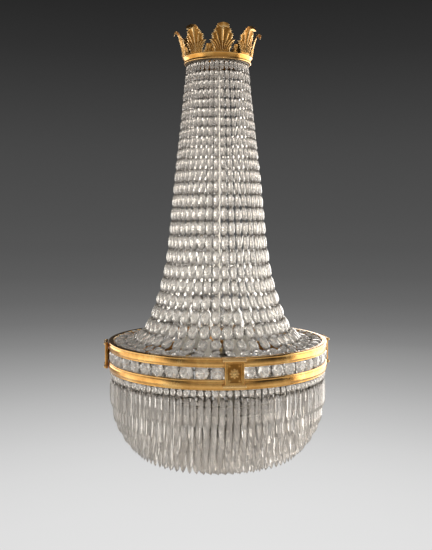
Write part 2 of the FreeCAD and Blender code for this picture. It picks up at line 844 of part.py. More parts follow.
def make_top_hoop():
    """Upper gilt hoop: a moulded wall with a flange at its top edge."""
    body = new_body("top_hoop", "Places.top_hoop_foot")
    outside = "Sizes.hoop_radius"
    height = "Sizes.top_hoop_height"
    flange = "%s - Sizes.hoop_flange_height" % height
    turned(body, [
        ("Places.hoop_inside", "0"),
        (outside + " - 1.5", "0"),
        (outside, "4"),
        (outside, height + " - 9"),
        (outside + " - 2", height + " - 4.5"),
        (outside + " - 1", height),
        ("Places.flange_inside", height),
        ("Places.flange_inside", flange),
        ("Places.hoop_inside", flange),
    ])


def make_lower_hoop():
    """Lower gilt hoop: the same wall with its flange at the foot."""
    body = new_body("lower_hoop", "Places.lower_hoop_foot")
    outside = "Sizes.hoop_radius"
    height = "Sizes.lower_hoop_height"
    turned(body, [
        ("Places.flange_inside", "0"),
        (outside + " - 2.5", "0"),
        (outside + " - 0.5", "4"),
        (outside, "8"),
        (outside, height + " - 6"),
        (outside + " - 2", height),
        ("Places.hoop_inside", height),
        ("Places.hoop_inside", "Sizes.hoop_flange_height"),
        ("Places.flange_inside", "Sizes.hoop_flange_height"),
    ])


def star(body, radius, level, offset):
    """Eight-petalled outline about a point on the upright axis."""
    corners = []
    for corner in range(16):
        angle = math.radians(22.5 * corner)
        share = 1.0 if corner % 2 == 0 else 0.5
        across = "%s * %.9f" % (radius, share * math.cos(angle))
        up = "%s + %s * %.9f" % (level, radius, share * math.sin(angle))
        corners.append((across, up))
    return outline(body, "XZ_Plane", corners, offset)


def make_plaques():
    """Four cast plaques over the hoops, with cap mouldings, a sunk panel and a rosette."""
    body = new_body("plaques")
    back = "Places.plaque_back"
    face = "Places.plaque_back + Sizes.plaque_depth"
    middle = "(Places.plaque_top + Places.plaque_foot) / 2"
    block = pad(body, rectangle(body, "XZ_Plane", "Sizes.plaque_width", "Places.plaque_foot",
                                "Places.plaque_top", back), "Sizes.plaque_depth")
    caps = []
    for low, high in (
        ("Places.plaque_top - Sizes.cap_height", "Places.plaque_top"),
        ("Places.plaque_foot", "Places.plaque_foot + Sizes.cap_height"),
    ):
        caps.append(pad(body, rectangle(body, "XZ_Plane", "Sizes.cap_width", low, high, back),
                        "Sizes.cap_depth"))
    panel = rectangle(body, "XZ_Plane", "Sizes.panel_width", middle + " - Sizes.panel_height / 2",
                      middle + " + Sizes.panel_height / 2", face)
    sunk = pocket(body, panel, "Sizes.panel_depth")
    rosette = pad(body, star(body, "Sizes.rosette_radius", middle, face + " - Sizes.panel_depth"),
                  "Sizes.rosette_depth")
    boss_offset = "Places.bracket_face"
    boss = pad(body, rectangle(body, "XZ_Plane", "Sizes.boss_width",
                               "Places.stone_level - Places.boss_height / 2",
                               "Places.stone_level + Places.boss_height / 2", boss_offset),
               "Places.plaque_back - Places.bracket_face")
    holes = screw_circles(body, "Sizes.plaque_screw_radius + Sizes.thread_clearance", boss_offset)
    depth = "Sizes.plaque_screw_length - Sizes.bracket_thickness + Sizes.seat_clearance"
    drilled = pocket(body, holes, depth, outward=True)
    around(body, [block] + caps + [sunk, rosette, boss, drilled], "4")


def screw_circles(body, radius, offset):
    """The two screw positions of a plaque, one above the other."""
    half = "Sizes.plaque_screw_spacing / 2"
    return circles(body, "XZ_Plane", [
        ("0", "Places.stone_level - " + half, radius),
        ("0", "Places.stone_level + " + half, radius),
    ], offset)


def make_plaque_brackets():
    """Flat bars inside the hoops that hold them apart behind each plaque."""
    body = new_body("plaque_brackets")
    bar = pad(body, rectangle(body, "XZ_Plane", "Sizes.bracket_width", "Places.bracket_foot",
                              "Places.bracket_top", "Places.bracket_back"),
              "Sizes.bracket_thickness")
    holes = screw_circles(body, "Sizes.plaque_screw_radius + Sizes.screw_clearance",
                          "Places.bracket_back")
    drilled = pocket(body, holes, "Sizes.bracket_thickness", outward=True)
    around(body, [bar, drilled], "4")


def make_plaque_screws():
    """Two screws to a plaque, put in from inside the hoops."""
    body = new_body("plaque_screws")
    head_offset = "Places.bracket_back - Sizes.plaque_screw_head_height"
    heads = pad(body, screw_circles(body, "Sizes.plaque_screw_head", head_offset),
                "Sizes.plaque_screw_head_height")
    shanks = pad(body, screw_circles(body, "Sizes.plaque_screw_radius", "Places.bracket_back"),
                 "Sizes.plaque_screw_length")
    around(body, [heads, shanks], "4")


def make_ring_spider():
    """Cross of four flat arms from the stem to the brackets behind the plaques."""
    body = new_body("ring_spider", "Places.spider_hub_foot")
    hub = circles(body, "XY_Plane", [("0", "0", "Sizes.spider_hub_radius")])
    pad(body, hub, "Sizes.spider_hub_height")
    half = "Sizes.spider_arm_width / 2"
    arm = outline(body, "XY_Plane", [
        ("0", "-" + half),
        ("Places.bracket_back", "-" + half),
        ("Places.bracket_back", half),
        ("0", half),
    ], "(Sizes.spider_hub_height - Sizes.spider_arm_thickness) / 2")
    around(body, [pad(body, arm, "Sizes.spider_arm_thickness")], "4")
    bore = circles(body, "XY_Plane", [("0", "0", "Sizes.stem_radius + Sizes.thread_clearance")],
                   "Sizes.spider_hub_height")
    pocket(body, bore, "Sizes.spider_hub_height")


# ---------------------------------------------------------------- lamps

def make_lamp_spider():
    """Hub with six arms that end in round pads for the lamp holders."""
    body = new_body("lamp_spider", "Places.lamp_hub_foot")
    hub = circles(body, "XY_Plane", [("0", "0", "Sizes.lamp_hub_radius")])
    pad(body, hub, "Sizes.lamp_hub_height")
    level = "Sizes.lamp_hub_height - Sizes.lamp_arm_thickness"
    half = "Sizes.lamp_arm_width / 2"
    arm = pad(body, outline(body, "XY_Plane", [
        ("0", "-" + half),
        ("Sizes.lamp_circle", "-" + half),
        ("Sizes.lamp_circle", half),
        ("0", half),
    ], level), "Sizes.lamp_arm_thickness")
    end = pad(body, circles(body, "XY_Plane", [("Sizes.lamp_circle", "0", "Sizes.lamp_pad_radius")],
                            level), "Sizes.lamp_arm_thickness")
    bore = circles(body, "XY_Plane", [
        ("Sizes.lamp_circle", "0", "Sizes.nipple_radius + Sizes.thread_clearance"),
    ], "Sizes.lamp_hub_height")
    hole = pocket(body, bore, "Sizes.lamp_arm_thickness")
    around(body, [arm, end, hole], "Sizes.lamp_count")
    middle = circles(body, "XY_Plane", [("0", "0", "Sizes.stem_radius + Sizes.thread_clearance")],
                     "Sizes.lamp_hub_height")
    pocket(body, middle, "Sizes.lamp_hub_height")


def make_lamp_nipples():
    """Hollow threaded tubes that hold the lamp holders and carry their leads."""
    body = new_body("lamp_nipples", "Places.lamp_hub_top")
    depth = "Sizes.lamp_arm_thickness + Sizes.nipple_nut_height + 0.5"
    tube = pad(body, circles(body, "XY_Plane", [
        ("Sizes.lamp_circle", "0", "Sizes.nipple_radius"),
        ("Sizes.lamp_circle", "0", "Sizes.nipple_bore"),
    ], "-(%s)" % depth), "Sizes.nipple_length")
    around(body, [tube], "Sizes.lamp_count")


def make_nipple_nuts():
    """Hexagon nuts under the lamp pads."""
    body = new_body("nipple_nuts", "Places.lamp_pad_foot")
    corners = []
    for corner in range(6):
        angle = math.radians(60 * corner)
        reach = "Sizes.nipple_nut_width / %.9f" % math.sqrt(3)
        across = "Sizes.lamp_circle + %s * %.9f" % (reach, math.cos(angle))
        corners.append((across, "%s * %.9f" % (reach, math.sin(angle))))
    nut = pad(body, outline(body, "XY_Plane", corners, "-Sizes.nipple_nut_height"),
              "Sizes.nipple_nut_height")
    bore = circles(body, "XY_Plane", [
        ("Sizes.lamp_circle", "0", "Sizes.nipple_radius + Sizes.thread_clearance"),
    ])
    hole = pocket(body, bore, "Sizes.nipple_nut_height")
    around(body, [nut, hole], "Sizes.lamp_count")


def make_lamp_holders():
    """Cup-shaped holders that the lamps screw into."""
    body = new_body("lamp_holders", "Places.lamp_hub_top")
    spot = ("Sizes.lamp_circle", "0")
    barrel = pad(body, circles(body, "XY_Plane", [spot + ("Places.holder_radius",)]),
                 "Places.holder_height")
    mouth = circles(body, "XY_Plane", [spot + ("Sizes.cap_radius + Sizes.cap_clearance",)],
                    "Places.holder_height")
    well = pocket(body, mouth, "Places.holder_height - Sizes.holder_floor")
    foot = circles(body, "XY_Plane", [spot + ("Sizes.nipple_radius + Sizes.thread_clearance",)],
                   "Sizes.holder_floor")
    hole = pocket(body, foot, "Sizes.holder_floor")
    around(body, [barrel, well, hole], "Sizes.lamp_count")


def make_bulbs():
    """Candle lamps: a threaded metal cap and a pointed glass envelope on it."""
    number = count("lamp_count")
    for lamp in range(number):
        angle = 2 * math.pi * lamp / number
        spot = Vector(size("lamp_circle") * math.cos(angle), size("lamp_circle") * math.sin(angle), 0)
        cap = new_body("bulb_cap_%d" % (lamp + 1), "Places.holder_floor_top + Sizes.seat_clearance")
        cap.Placement.Base = Vector(spot.x, spot.y, cap.Placement.Base.z)
        turned(cap, [
            ("0", "0"),
            ("Sizes.cap_radius * 0.45", "0"),
            ("Sizes.cap_radius", "4"),
            ("Sizes.cap_radius", "Sizes.cap_length"),
            ("0", "Sizes.cap_length"),
        ])
        level = "Places.holder_floor_top + Sizes.seat_clearance + Sizes.cap_length"
        glass = new_body("bulb_glass_%d" % (lamp + 1), level)
        glass.Placement.Base = Vector(spot.x, spot.y, glass.Placement.Base.z)
        turned(glass, [
            ("Sizes.cap_radius - Sizes.glass_wall", "0"),
            ("Sizes.cap_radius", "0"),
            ("Sizes.cap_radius", "Sizes.bulb_neck"),
            ("Sizes.bulb_radius * 0.92", "Sizes.bulb_length * 0.24"),
            ("Sizes.bulb_radius", "Sizes.bulb_length * 0.38"),
            ("Sizes.bulb_radius * 0.84", "Sizes.bulb_length * 0.62"),
            ("Sizes.bulb_radius * 0.30", "Sizes.bulb_length * 0.90"),
            ("0", "Sizes.bulb_length"),
            ("0", "Sizes.bulb_length - 2 * Sizes.glass_wall"),
            ("Sizes.bulb_radius * 0.24", "Sizes.bulb_length * 0.89"),
            ("Sizes.bulb_radius * 0.84 - Sizes.glass_wall", "Sizes.bulb_length * 0.615"),
            ("Sizes.bulb_radius - Sizes.glass_wall", "Sizes.bulb_length * 0.38"),
            ("Sizes.bulb_radius * 0.92 - Sizes.glass_wall", "Sizes.bulb_length * 0.245"),
            ("Sizes.cap_radius - Sizes.glass_wall", "Sizes.bulb_neck + 0.4"),
        ])


def make_terminal_block():
    """Insulated block on the lamp hub where the supply divides to the lamps."""
    body = new_body("terminal_block", "Places.lamp_hub_top")
    low = "Sizes.block_circle - Sizes.block_depth / 2"
    high = "Sizes.block_circle + Sizes.block_depth / 2"
    pad(body, rectangle(body, "XY_Plane", "Sizes.block_width", low, high), "Sizes.block_height")


# ---------------------------------------------------------------- basket

def make_basket_ribs():
    """Four bars under the lower hoop, stepped to seat the tier hoops, down to the hub."""
    body = new_body("basket_ribs")
    head = "Places.lower_hoop_foot"
    circle = "Places.prism_circle"
    seats = []
    backs = []
    for share, drop in TIERS:
        level = "%s - Sizes.basket_drop * %.3f" % (head, drop)
        for side in ("+", "-"):
            seats.append(("%s * %.3f %s Sizes.rib_seat / 2" % (circle, share, side), level))
        backs.append(("%s * %.3f - Sizes.rib_seat" % (circle, share), level + " + Sizes.rib_depth"))
    hub_reach = "Sizes.stem_radius + 3"
    corners = [("Places.flange_inside + 2", head)] + seats
    corners.append((hub_reach, "Places.basket_hub_top"))
    corners.append((hub_reach, "Places.basket_hub_top + Sizes.rib_depth"))
    corners += reversed(backs[:-1])
    inner_head = "%s * %.3f - Sizes.rib_depth - Sizes.rib_seat / 2" % (circle, TIERS[0][0])
    corners.append((inner_head, head))
    bar = pad(body, outline(body, "XZ_Plane", corners), "Sizes.rib_thickness", middle=True)
    around(body, [bar], "4")


def make_basket_hub():
    """Disc on the stem that the inner ends of the ribs rest on."""
    body = new_body("basket_hub", "Places.basket_hub_foot")
    ring = circles(body, "XY_Plane", [
        ("0", "0", "Sizes.basket_hub_radius"),
        ("0", "0", "Sizes.stem_radius + Sizes.thread_clearance"),
    ])
    pad(body, ring, "Sizes.basket_hub_height")


def make_bottom_nut():
    """Domed nut that closes the stem's lower end and holds the basket hub up."""
    body = new_body("bottom_nut", "Places.basket_hub_foot - Sizes.bottom_nut_height")
    height = "Sizes.bottom_nut_height"
    bore = "Sizes.stem_radius + Sizes.thread_clearance"
    turned(body, [
        ("0", "0"),
        ("Sizes.bottom_nut_radius * 0.5", "1"),
        ("Sizes.bottom_nut_radius * 0.85", "4"),
        ("Sizes.bottom_nut_radius", "8"),
        ("Sizes.bottom_nut_radius", height),
        (bore, height),
        (bore, height + " - Sizes.stem_tail - Sizes.seat_clearance"),
        ("0", height + " - Sizes.stem_tail - Sizes.seat_clearance"),
    ])


def build_parts():
    """Make every sub-part, from the hanging ring down."""
    make_hanging_ring()
    make_suspension_eye()
    make_top_spider()
    make_strand_hoop()
    make_crown_band()
    make_crown_screws()
    make_crown_leaves()
    make_stem_coupler()
    make_central_stem()
    make_strands()
    make_top_hoop()
    make_lower_hoop()
    make_band_stones()
    make_plaques()
    make_plaque_brackets()
    make_plaque_screws()
    make_ring_spider()
    make_nut("spider_nut_lower", "Places.spider_hub_foot - Sizes.nut_height")
    make_nut("spider_nut_upper", "Places.spider_hub_top")
    make_lamp_spider()
    make_nut("lamp_hub_nut", "Places.lamp_hub_top")
    make_lamp_nipples()
    make_nipple_nuts()
    make_lamp_holders()
    make_bulbs()
    make_terminal_block()
    make_first_tier()
    make_inner_tiers()
    make_basket_ribs()
    make_basket_hub()
    make_bottom_nut()


def check_and_write():
    """Stop on any failed object, then write one STEP file for each sub-part."""
    doc.recompute()
    for item in doc.Objects:
        if "Invalid" in item.State or "Error" in item.State:
            raise RuntimeError("%s failed: %s" % (item.Name, item.State))
    for part in PARTS:
        if part.Shape.isNull() or not part.Shape.isValid():
            raise RuntimeError("%s has no valid shape" % part.Label)
    os.makedirs("parts", exist_ok=True)
    for part in PARTS:
        part.Shape.exportStep("parts/%s.step" % part.Label)
        box = part.Shape.BoundBox
        print("%-20s solids %4d  volume %10.1f  z %8.1f to %8.1f" % (
            part.Label, len(part.Shape.Solids), part.Shape.Volume, box.ZMin, box.ZMax))


build_parts()
check_and_write()
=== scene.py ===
import math
import bpy
import numpy as np
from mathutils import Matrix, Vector


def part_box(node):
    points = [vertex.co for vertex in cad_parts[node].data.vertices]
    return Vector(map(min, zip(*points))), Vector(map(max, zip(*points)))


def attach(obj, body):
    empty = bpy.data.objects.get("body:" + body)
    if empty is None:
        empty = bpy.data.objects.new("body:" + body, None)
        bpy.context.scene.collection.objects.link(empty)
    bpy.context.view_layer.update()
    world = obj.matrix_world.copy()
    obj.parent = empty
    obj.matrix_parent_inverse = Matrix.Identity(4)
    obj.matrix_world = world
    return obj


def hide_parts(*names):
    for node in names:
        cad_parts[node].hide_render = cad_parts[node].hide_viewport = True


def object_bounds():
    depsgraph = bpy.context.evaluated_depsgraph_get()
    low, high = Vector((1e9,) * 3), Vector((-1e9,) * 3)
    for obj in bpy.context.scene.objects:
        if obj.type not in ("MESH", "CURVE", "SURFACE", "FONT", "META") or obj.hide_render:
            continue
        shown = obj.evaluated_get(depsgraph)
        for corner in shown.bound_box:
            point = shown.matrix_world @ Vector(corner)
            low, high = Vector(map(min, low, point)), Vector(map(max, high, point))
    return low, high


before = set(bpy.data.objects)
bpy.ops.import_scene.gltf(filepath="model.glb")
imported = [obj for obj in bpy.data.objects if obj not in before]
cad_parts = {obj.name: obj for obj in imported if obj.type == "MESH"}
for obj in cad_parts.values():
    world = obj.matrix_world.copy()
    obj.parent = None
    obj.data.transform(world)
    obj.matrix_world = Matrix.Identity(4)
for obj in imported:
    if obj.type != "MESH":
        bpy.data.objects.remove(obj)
cad_low, cad_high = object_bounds()


# ---- Studio
# A pale floor that darkens with distance under a dark grey sky, as in a photographer's
# gradient sweep. Tall soft boxes stand left, right and behind, and dim ones fill the front.

scene = bpy.context.scene
scene.view_settings.view_transform = "Standard"


class Shade:
    """One value in a material. Arithmetic on it adds the Math nodes that work it out."""

    def __init__(self, tree, socket):
        self.tree = tree
        self.socket = socket

    def node(self, kind, settings=None, inputs=None, output=0):
        """Adds a node of a kind: its settings first, then the values or links of its sockets."""
        made = self.tree.nodes.new("ShaderNode" + kind)
        for name, value in (settings or {}).items():
            if name == "stops":
                ramp = made.color_ramp
                while len(ramp.elements) < len(value):
                    ramp.elements.new(0.5)
                for stop, (place, colour) in zip(ramp.elements, value):
                    stop.position = place
                    stop.color = (*colour, 1)
            else:
                setattr(made, name, value)
        for name, value in (inputs or {}).items():
            if isinstance(value, Shade):
                self.tree.links.new(value.socket, made.inputs[name])
            else:
                made.inputs[name].default_value = value
        return Shade(self.tree, made.outputs[output])

    def math(self, operation, first, second=0.0):
        return self.node("Math", {"operation": operation}, {0: first, 1: second})

    def __add__(self, other):
        return self.math("ADD", self, other)

    __radd__ = __add__

    def __mul__(self, other):
        return self.math("MULTIPLY", self, other)

    __rmul__ = __mul__

    def __sub__(self, other):
        return self.math("SUBTRACT", self, other)

    def __rsub__(self, other):
        return self.math("SUBTRACT", other, self)

    def __truediv__(self, other):
        return self.math("DIVIDE", self, other)

    def __rtruediv__(self, other):
        return self.math("DIVIDE", other, self)

    def __pow__(self, other):
        return self.math("POWER", self, other)

    def noise(self, scale, detail=2.0, rough=0.5):
        """Soft noise, 0 to 1, at a scale in lumps per metre."""
        return self.node("TexNoise", None, {
            "Vector": self, "Scale": scale, "Detail": detail, "Roughness": rough})

    def ramp(self, *stops):
        """Colours along a 0 to 1 value, given as (place, colour) pairs."""
        return self.node("ValToRGB", {"stops": stops}, {"Fac": self})

    def bump(self, height, depth):
        """A surface normal from a height value, depth in metres for a height of 1."""
        return self.node("Bump", None, {"Height": height, "Distance": depth, "Strength": 1.0})


def start_of(tree, output="Object"):
    """The Texture Coordinate output that a material's values start from."""
    made = tree.nodes.new("ShaderNodeTexCoord")
    return Shade(tree, made.outputs[output])


def grey(level):
    """Linear grey for a display value of 0 to 255."""
    share = level / 255
    linear = share / 12.92 if share < 0.04 else ((share + 0.055) / 1.055) ** 2.4
    return (linear, linear, linear)


def seen(tree):
    """1 for rays that show a background directly, in a mirror or through glass."""
    path = tree.nodes.new("ShaderNodeLightPath")
    rays = [Shade(tree, path.outputs[name]) for name in (
        "Is Camera Ray", "Is Glossy Ray", "Is Transmission Ray")]
    return rays[0].math("MAXIMUM", rays[0].math("MAXIMUM", rays[0], rays[1]), rays[2])


def make_floor():
    """Flat disc under the lowest crystal, point = (r cos t, r sin t, level)."""
    level = cad_low.z - 0.45
    reach = np.array([0.0, 1, 2, 4, 8, 16, 32])
    turn = np.linspace(0, 2 * math.pi, 65)[:-1]
    x = np.outer(reach, np.cos(turn)).ravel()
    y = np.outer(reach, np.sin(turn)).ravel()
    points = np.stack([x, y, np.full_like(x, level)], 1)
    ring, step = np.meshgrid(np.arange(len(reach) - 1), np.arange(len(turn)), indexing="ij")
    after = (step + 1) % len(turn)
    near, far = ring * len(turn), (ring + 1) * len(turn)
    quads = np.stack([near + step, far + step, far + after, near + after], -1).reshape(-1, 4)
    mesh = bpy.data.meshes.new("floor")
    mesh.from_pydata(points.tolist(), [], quads.tolist())
    floor = bpy.data.objects.new("floor", mesh)
    scene.collection.objects.link(floor)
    return floor


def floor_finish():
    """Matt pale paper: its grey falls with the distance r from the axis, read at r / (r + 2.5)."""
    material = bpy.data.materials.new("floor_paper")
    material.use_nodes = True
    tree = material.node_tree
    tree.nodes.clear()
    place = start_of(tree)
    flat = place.node("VectorMath", {"operation": "MULTIPLY"}, {0: place, 1: (1, 1, 0)})
    reach = flat.node("VectorMath", {"operation": "LENGTH"}, {0: flat}, 1)
    share = reach / (reach + 2.5)
    colour = share.ramp(*((stop, grey(level)) for stop, level in (
        (0.19, 227), (0.28, 224), (0.325, 221), (0.365, 217), (0.41, 210), (0.453, 200),
        (0.498, 188), (0.545, 172), (0.595, 154), (0.646, 135), (0.70, 117), (0.755, 104),
        (0.825, 93), (0.90, 86), (0.93, 84))))
    paper = tree.nodes.new("ShaderNodeBsdfDiffuse")
    glow = tree.nodes.new("ShaderNodeEmission")
    mix = tree.nodes.new("ShaderNodeMixShader")
    out = tree.nodes.new("ShaderNodeOutputMaterial")
    tree.links.new(colour.socket, paper.inputs["Color"])
    tree.links.new(colour.socket, glow.inputs["Color"])
    tree.links.new((seen(tree) * 0.97).socket, mix.inputs[0])
    tree.links.new(paper.outputs[0], mix.inputs[1])
    tree.links.new(glow.outputs[0], mix.inputs[2])
    tree.links.new(mix.outputs[0], out.inputs["Surface"])
    return material


def make_sky():
    """Dark grey above the horizon where it is seen, an even grey where it only lights."""
    world = bpy.data.worlds.new("sky")
    scene.world = world
    world.use_nodes = True
    tree = world.node_tree
    tree.nodes.clear()
    direction = start_of(tree, "Generated")
    height = direction.node("SeparateXYZ", None, {0: direction}, 2)
    colour = (height * 0.5 + 0.5).ramp(*((0.5 + rise / 2, grey(level)) for rise, level in (
        (-0.03, 84), (0.0, 80), (0.02, 78), (0.09, 71), (0.155, 61), (0.22, 49), (0.28, 40),
        (0.9, 30))))
    lit = tree.nodes.new("ShaderNodeBackground")
    lit.inputs["Color"].default_value = (0.96, 0.98, 1, 1)
    lit.inputs["Strength"].default_value = 0.42
    shown = tree.nodes.new("ShaderNodeBackground")
    tree.links.new(colour.socket, shown.inputs["Color"])
    mix = tree.nodes.new("ShaderNodeMixShader")
    out = tree.nodes.new("ShaderNodeOutputWorld")
    tree.links.new(seen(tree).socket, mix.inputs[0])
    tree.links.new(lit.outputs[0], mix.inputs[1])
    tree.links.new(shown.outputs[0], mix.inputs[2])
    tree.links.new(mix.outputs[0], out.inputs["Surface"])


def soft_box(name, azimuth, distance, level, width, height, radiance, tint, mirrored=True):
    """Soft box that faces the stem; azimuth 0 is the front and 90 the right."""
    lamp = bpy.data.lights.new(name, "AREA")
    lamp.shape = "RECTANGLE"
    lamp.size = width
    lamp.size_y = height
    lamp.energy = radiance * math.pi * width * height
    lamp.color = tint
    turn = math.radians(azimuth)
    spot = Vector((distance * math.sin(turn), -distance * math.cos(turn), level))
    stand = bpy.data.objects.new(name, lamp)
    stand.location = spot
    stand.rotation_euler = (Vector((0, 0, -0.55)) - spot).to_track_quat("-Z", "Y").to_euler()
    stand.visible_camera = False
    stand.visible_glossy = mirrored
    scene.collection.objects.link(stand)


def make_camera():
    """Level camera at the photograph's distance, a little left of the front plaque.

    Focal length and shift are in the picture's own dots, of which its height has 550.
    """
    picture_height, focal, shift, sensor = 550, 748.9, -60, 36
    distance, level = 1.732, -0.390
    turn = math.radians(-7.6)
    lens = bpy.data.cameras.new("camera")
    lens.lens = focal / picture_height * sensor
    lens.sensor_width = sensor
    lens.shift_y = shift / picture_height
    camera = bpy.data.objects.new("camera", lens)
    camera.location = (distance * math.sin(turn), -distance * math.cos(turn), level)
    pitch, yaw = math.radians(0.267), math.radians(0.117)
    camera.rotation_euler = (math.pi / 2 + pitch, 0, turn + yaw)
    scene.collection.objects.link(camera)
    scene.camera = camera


floor = make_floor()
floor.data.materials.append(floor_finish())
make_sky()
soft_box("left_box", -90, 1.8, -0.88, 2.3, 1.8, 1.2, (1.0, 0.97, 0.92))
soft_box("right_box", 104, 1.8, -0.45, 2.2, 1.9, 2.9, (1.0, 0.97, 0.93))
soft_box("front_fill", -5, 3.2, 0.6, 4.2, 3.2, 0.42, (1.0, 0.95, 0.88))
soft_box("top_fill", 20, 0.7, 1.5, 2.2, 2.2, 0.4, (1.0, 0.96, 0.90))
soft_box("left_rim", -140, 4.6, -0.48, 2.8, 1.15, 3.5, (1.0, 0.96, 0.91))
soft_box("right_rim", 150, 4.6, -0.45, 2.8, 1.2, 5.2, (1.0, 0.96, 0.91))
soft_box("low_fill", 15, 2.6, -0.95, 3.6, 0.8, 5.4, (1.0, 0.96, 0.90), False)
make_camera()


# ---- Hanging ring, eye and spider
# Forged and turned brass, fire-gilt with the rest of the mounts: the ring goes over the
# ceiling hook, the eye hangs in it and clamps the top spider under its collar.

def new_finish(name, look, **fixed):
    """A Principled material: fixed sockets by name, and look(place) gives what varies."""
    material = bpy.data.materials.new(name)
    material.use_nodes = True
    tree = material.node_tree
    shader = tree.nodes["Principled BSDF"]
    for socket, value in fixed.items():
        shader.inputs[socket.replace("_", " ")].default_value = value
    for socket, value in look(start_of(tree)).items():
        tree.links.new(value.socket, shader.inputs[socket])
    return material


def gilt_look(place):
    """Fire gilding: warm gold in redder clouds, with painted shade in the hollows and a painted
    highlight on the edges.
    """
    cloud = place.noise(26.0, 4.0, 0.6)
    grain = place.noise(420.0, 3.0)
    hollow, rubbed = (place.node("Attribute", {"attribute_name": name}, None, 2)
                      for name in ("hollow", "rubbed"))
    colour = cloud.ramp((0.30, (0.53, 0.25, 0.055)), (0.52, (0.74, 0.39, 0.105)),
                        (0.72, (0.87, 0.54, 0.19)))
    # Painted shade: dark brown mixed in at points in hollows. Painted highlight: pale cream mixed
    # in on edges.
    for factor, shade in ((hollow * 0.78, (0.25, 0.10, 0.014, 1)),
                          (rubbed * 0.80, (1.0, 0.77, 0.43, 1))):
        colour = place.node("Mix", {"data_type": "RGBA"}, {0: factor, 6: colour, 7: shade}, 2)
    return {
        "Base Color": colour,
        "Roughness": 0.10 + 0.20 * cloud + 0.08 * grain + 0.25 * hollow,
        "Normal": place.bump(grain, 0.00012),
    }


def paint(finish, *names):
    """Gives CAD nodes a finish through their material slots."""
    for name in names:
        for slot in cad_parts[name].material_slots:
            slot.material = finish


def dull_look(place):
    """Silvered brass, deep brown, for the frame inside."""
    cloud = place.noise(55.0, 3.0, 0.6)
    return {
        "Base Color": cloud.ramp((0.30, (0.10, 0.085, 0.065)), (0.70, (0.28, 0.25, 0.20))),
        "Roughness": 0.30 + 0.25 * cloud,
        "Normal": place.bump(place.noise(600.0, 2.0), 0.00008),
    }


gilt = new_finish("fire_gilding", gilt_look, Metallic=1.0)
dull = new_finish("dull_frame", dull_look, Metallic=1.0)
paint(gilt, "hanging_ring", "suspension_eye")
paint(dull, "top_spider", "strand_hoop")


# ---- Crown band
# Spun brass band with a moulded foot and lip; its flange lies on the spider's arms and four
# screws clamp both to the hoop that the strands hang from.

MM = 0.001


def softened(profile, rounds=2):
    """Corner-cut closed profile: each edge keeps its points at a quarter and three quarters."""
    points = np.asarray(profile, float)
    for _ in range(rounds):
        after = np.roll(points, -1, 0)
        points = np.stack([0.75 * points + 0.25 * after, 0.25 * points + 0.75 * after], 1)
        points = points.reshape(-1, 2)
    return points


def add_mesh(name, points, faces, finish, smooth=True, hollow=None):
    """A piece from its points and faces, turned outward by the sign of its volume.

    Each point's painted shade is kept as two attributes for the gilding and the crystal ends:
    above 0 it darkens the point as painted shade, below 0 it lightens an edge as a painted
    highlight.
    """
    points = np.asarray(points, float)
    first = points[[face[0] for face in faces]]
    second = points[[face[1] for face in faces]]
    third = points[[face[2] for face in faces]]
    if np.einsum("ij,ij->", first, np.cross(second, third)) < 0:
        faces = [face[::-1] for face in faces]
    mesh = bpy.data.meshes.new(name)
    mesh.from_pydata(points.tolist(), [], faces)
    mesh.polygons.foreach_set("use_smooth", np.full(len(faces), smooth))
    mesh.materials.append(finish)
    if hollow is not None:
        for kept, value in (("hollow", hollow), ("rubbed", -hollow)):
            attribute = mesh.attributes.new(kept, "FLOAT", "POINT")
            attribute.data.foreach_set("value", np.clip(value, 0, 1))
    mesh.update()
    piece = bpy.data.objects.new(name, mesh)
    scene.collection.objects.link(piece)
    return piece


def grid_faces(rows, columns, close_rows=False, close_columns=False):
    """Quads of a rows by columns grid of points, joined round where a direction closes."""
    row, column = np.meshgrid(np.arange(rows if close_rows else rows - 1),
                              np.arange(columns if close_columns else columns - 1),
                              indexing="ij")
    below, right = (row + 1) % rows, (column + 1) % columns
    quads = [row * columns + column, row * columns + right,
             below * columns + right, below * columns + column]
    return np.stack(quads, -1).reshape(-1, 4).tolist()


def grooves(profile, inside):
    """How far each corner of a closed profile turns inward, the sine of its turn, blurred, for
    painted shade in its grooves.

    An edge turns outward, below 0, for a painted highlight, and what lies within the inside reach
    is darkened in full.
    """
    before, after = profile - np.roll(profile, 1, 0), np.roll(profile, -1, 0) - profile
    turn = np.cross(before, after)
    turn = turn / (np.linalg.norm(before, axis=1) * np.linalg.norm(after, axis=1))
    inward = -turn * np.sign(np.cross(profile, np.roll(profile, -1, 0)).sum())
    for _ in range(3):
        inward = (np.roll(inward, 1) + 2 * inward + np.roll(inward, -1)) / 4
    return np.where(profile[:, 0] < inside, 1, np.clip(1.7 * inward, -1, 0.7))


def turned(name, profile, finish, turns=240, centre=(0, 0), inside=0):
    """Lathe-turned piece: point = centre + (reach cos t, reach sin t, level), in millimetres."""
    profile = np.asarray(profile, float) * MM
    around = np.linspace(0, 2 * math.pi, turns, endpoint=False)
    x = centre[0] + np.outer(profile[:, 0], np.cos(around))
    y = centre[1] + np.outer(profile[:, 0], np.sin(around))
    z = np.repeat(profile[:, 1:], turns, 1)
    points = np.stack([x, y, z], -1).reshape(-1, 3)
    return add_mesh(name, points, grid_faces(len(profile), turns, True, True), finish,
                    hollow=np.repeat(grooves(profile, inside * MM), turns))


def own(piece, *nodes, body="chandelier", slot="gilt"):
    """Seats a piece on its body in place of its CAD nodes; the slot that would name its finish is
    not used.
    """
    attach(piece, body)
    if nodes:
        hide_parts(*nodes)


crown_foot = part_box("crown_band")[0].z / MM
crown_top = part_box("crown_band")[1].z / MM
crown_profile = [(reach, crown_foot + rise) for reach, rise in (
    (73.0, 0.1), (76.3, 0.0), (77.3, 0.8), (77.5, 2.2), (77.3, 3.6), (76.5, 4.3), (76.7, 5.4),
    (77.6, 8.0), (78.9, 11.2), (80.0, 12.9), (80.4, 13.7), (80.0, 14.5), (78.0, 14.5),
    (73.0, 14.5), (73.0, 8.0), (65.0, 8.0), (65.0, 5.0), (73.0, 5.0))]
own(turned("crown_ring", softened(crown_profile), gilt, inside=74.5), "crown_band")


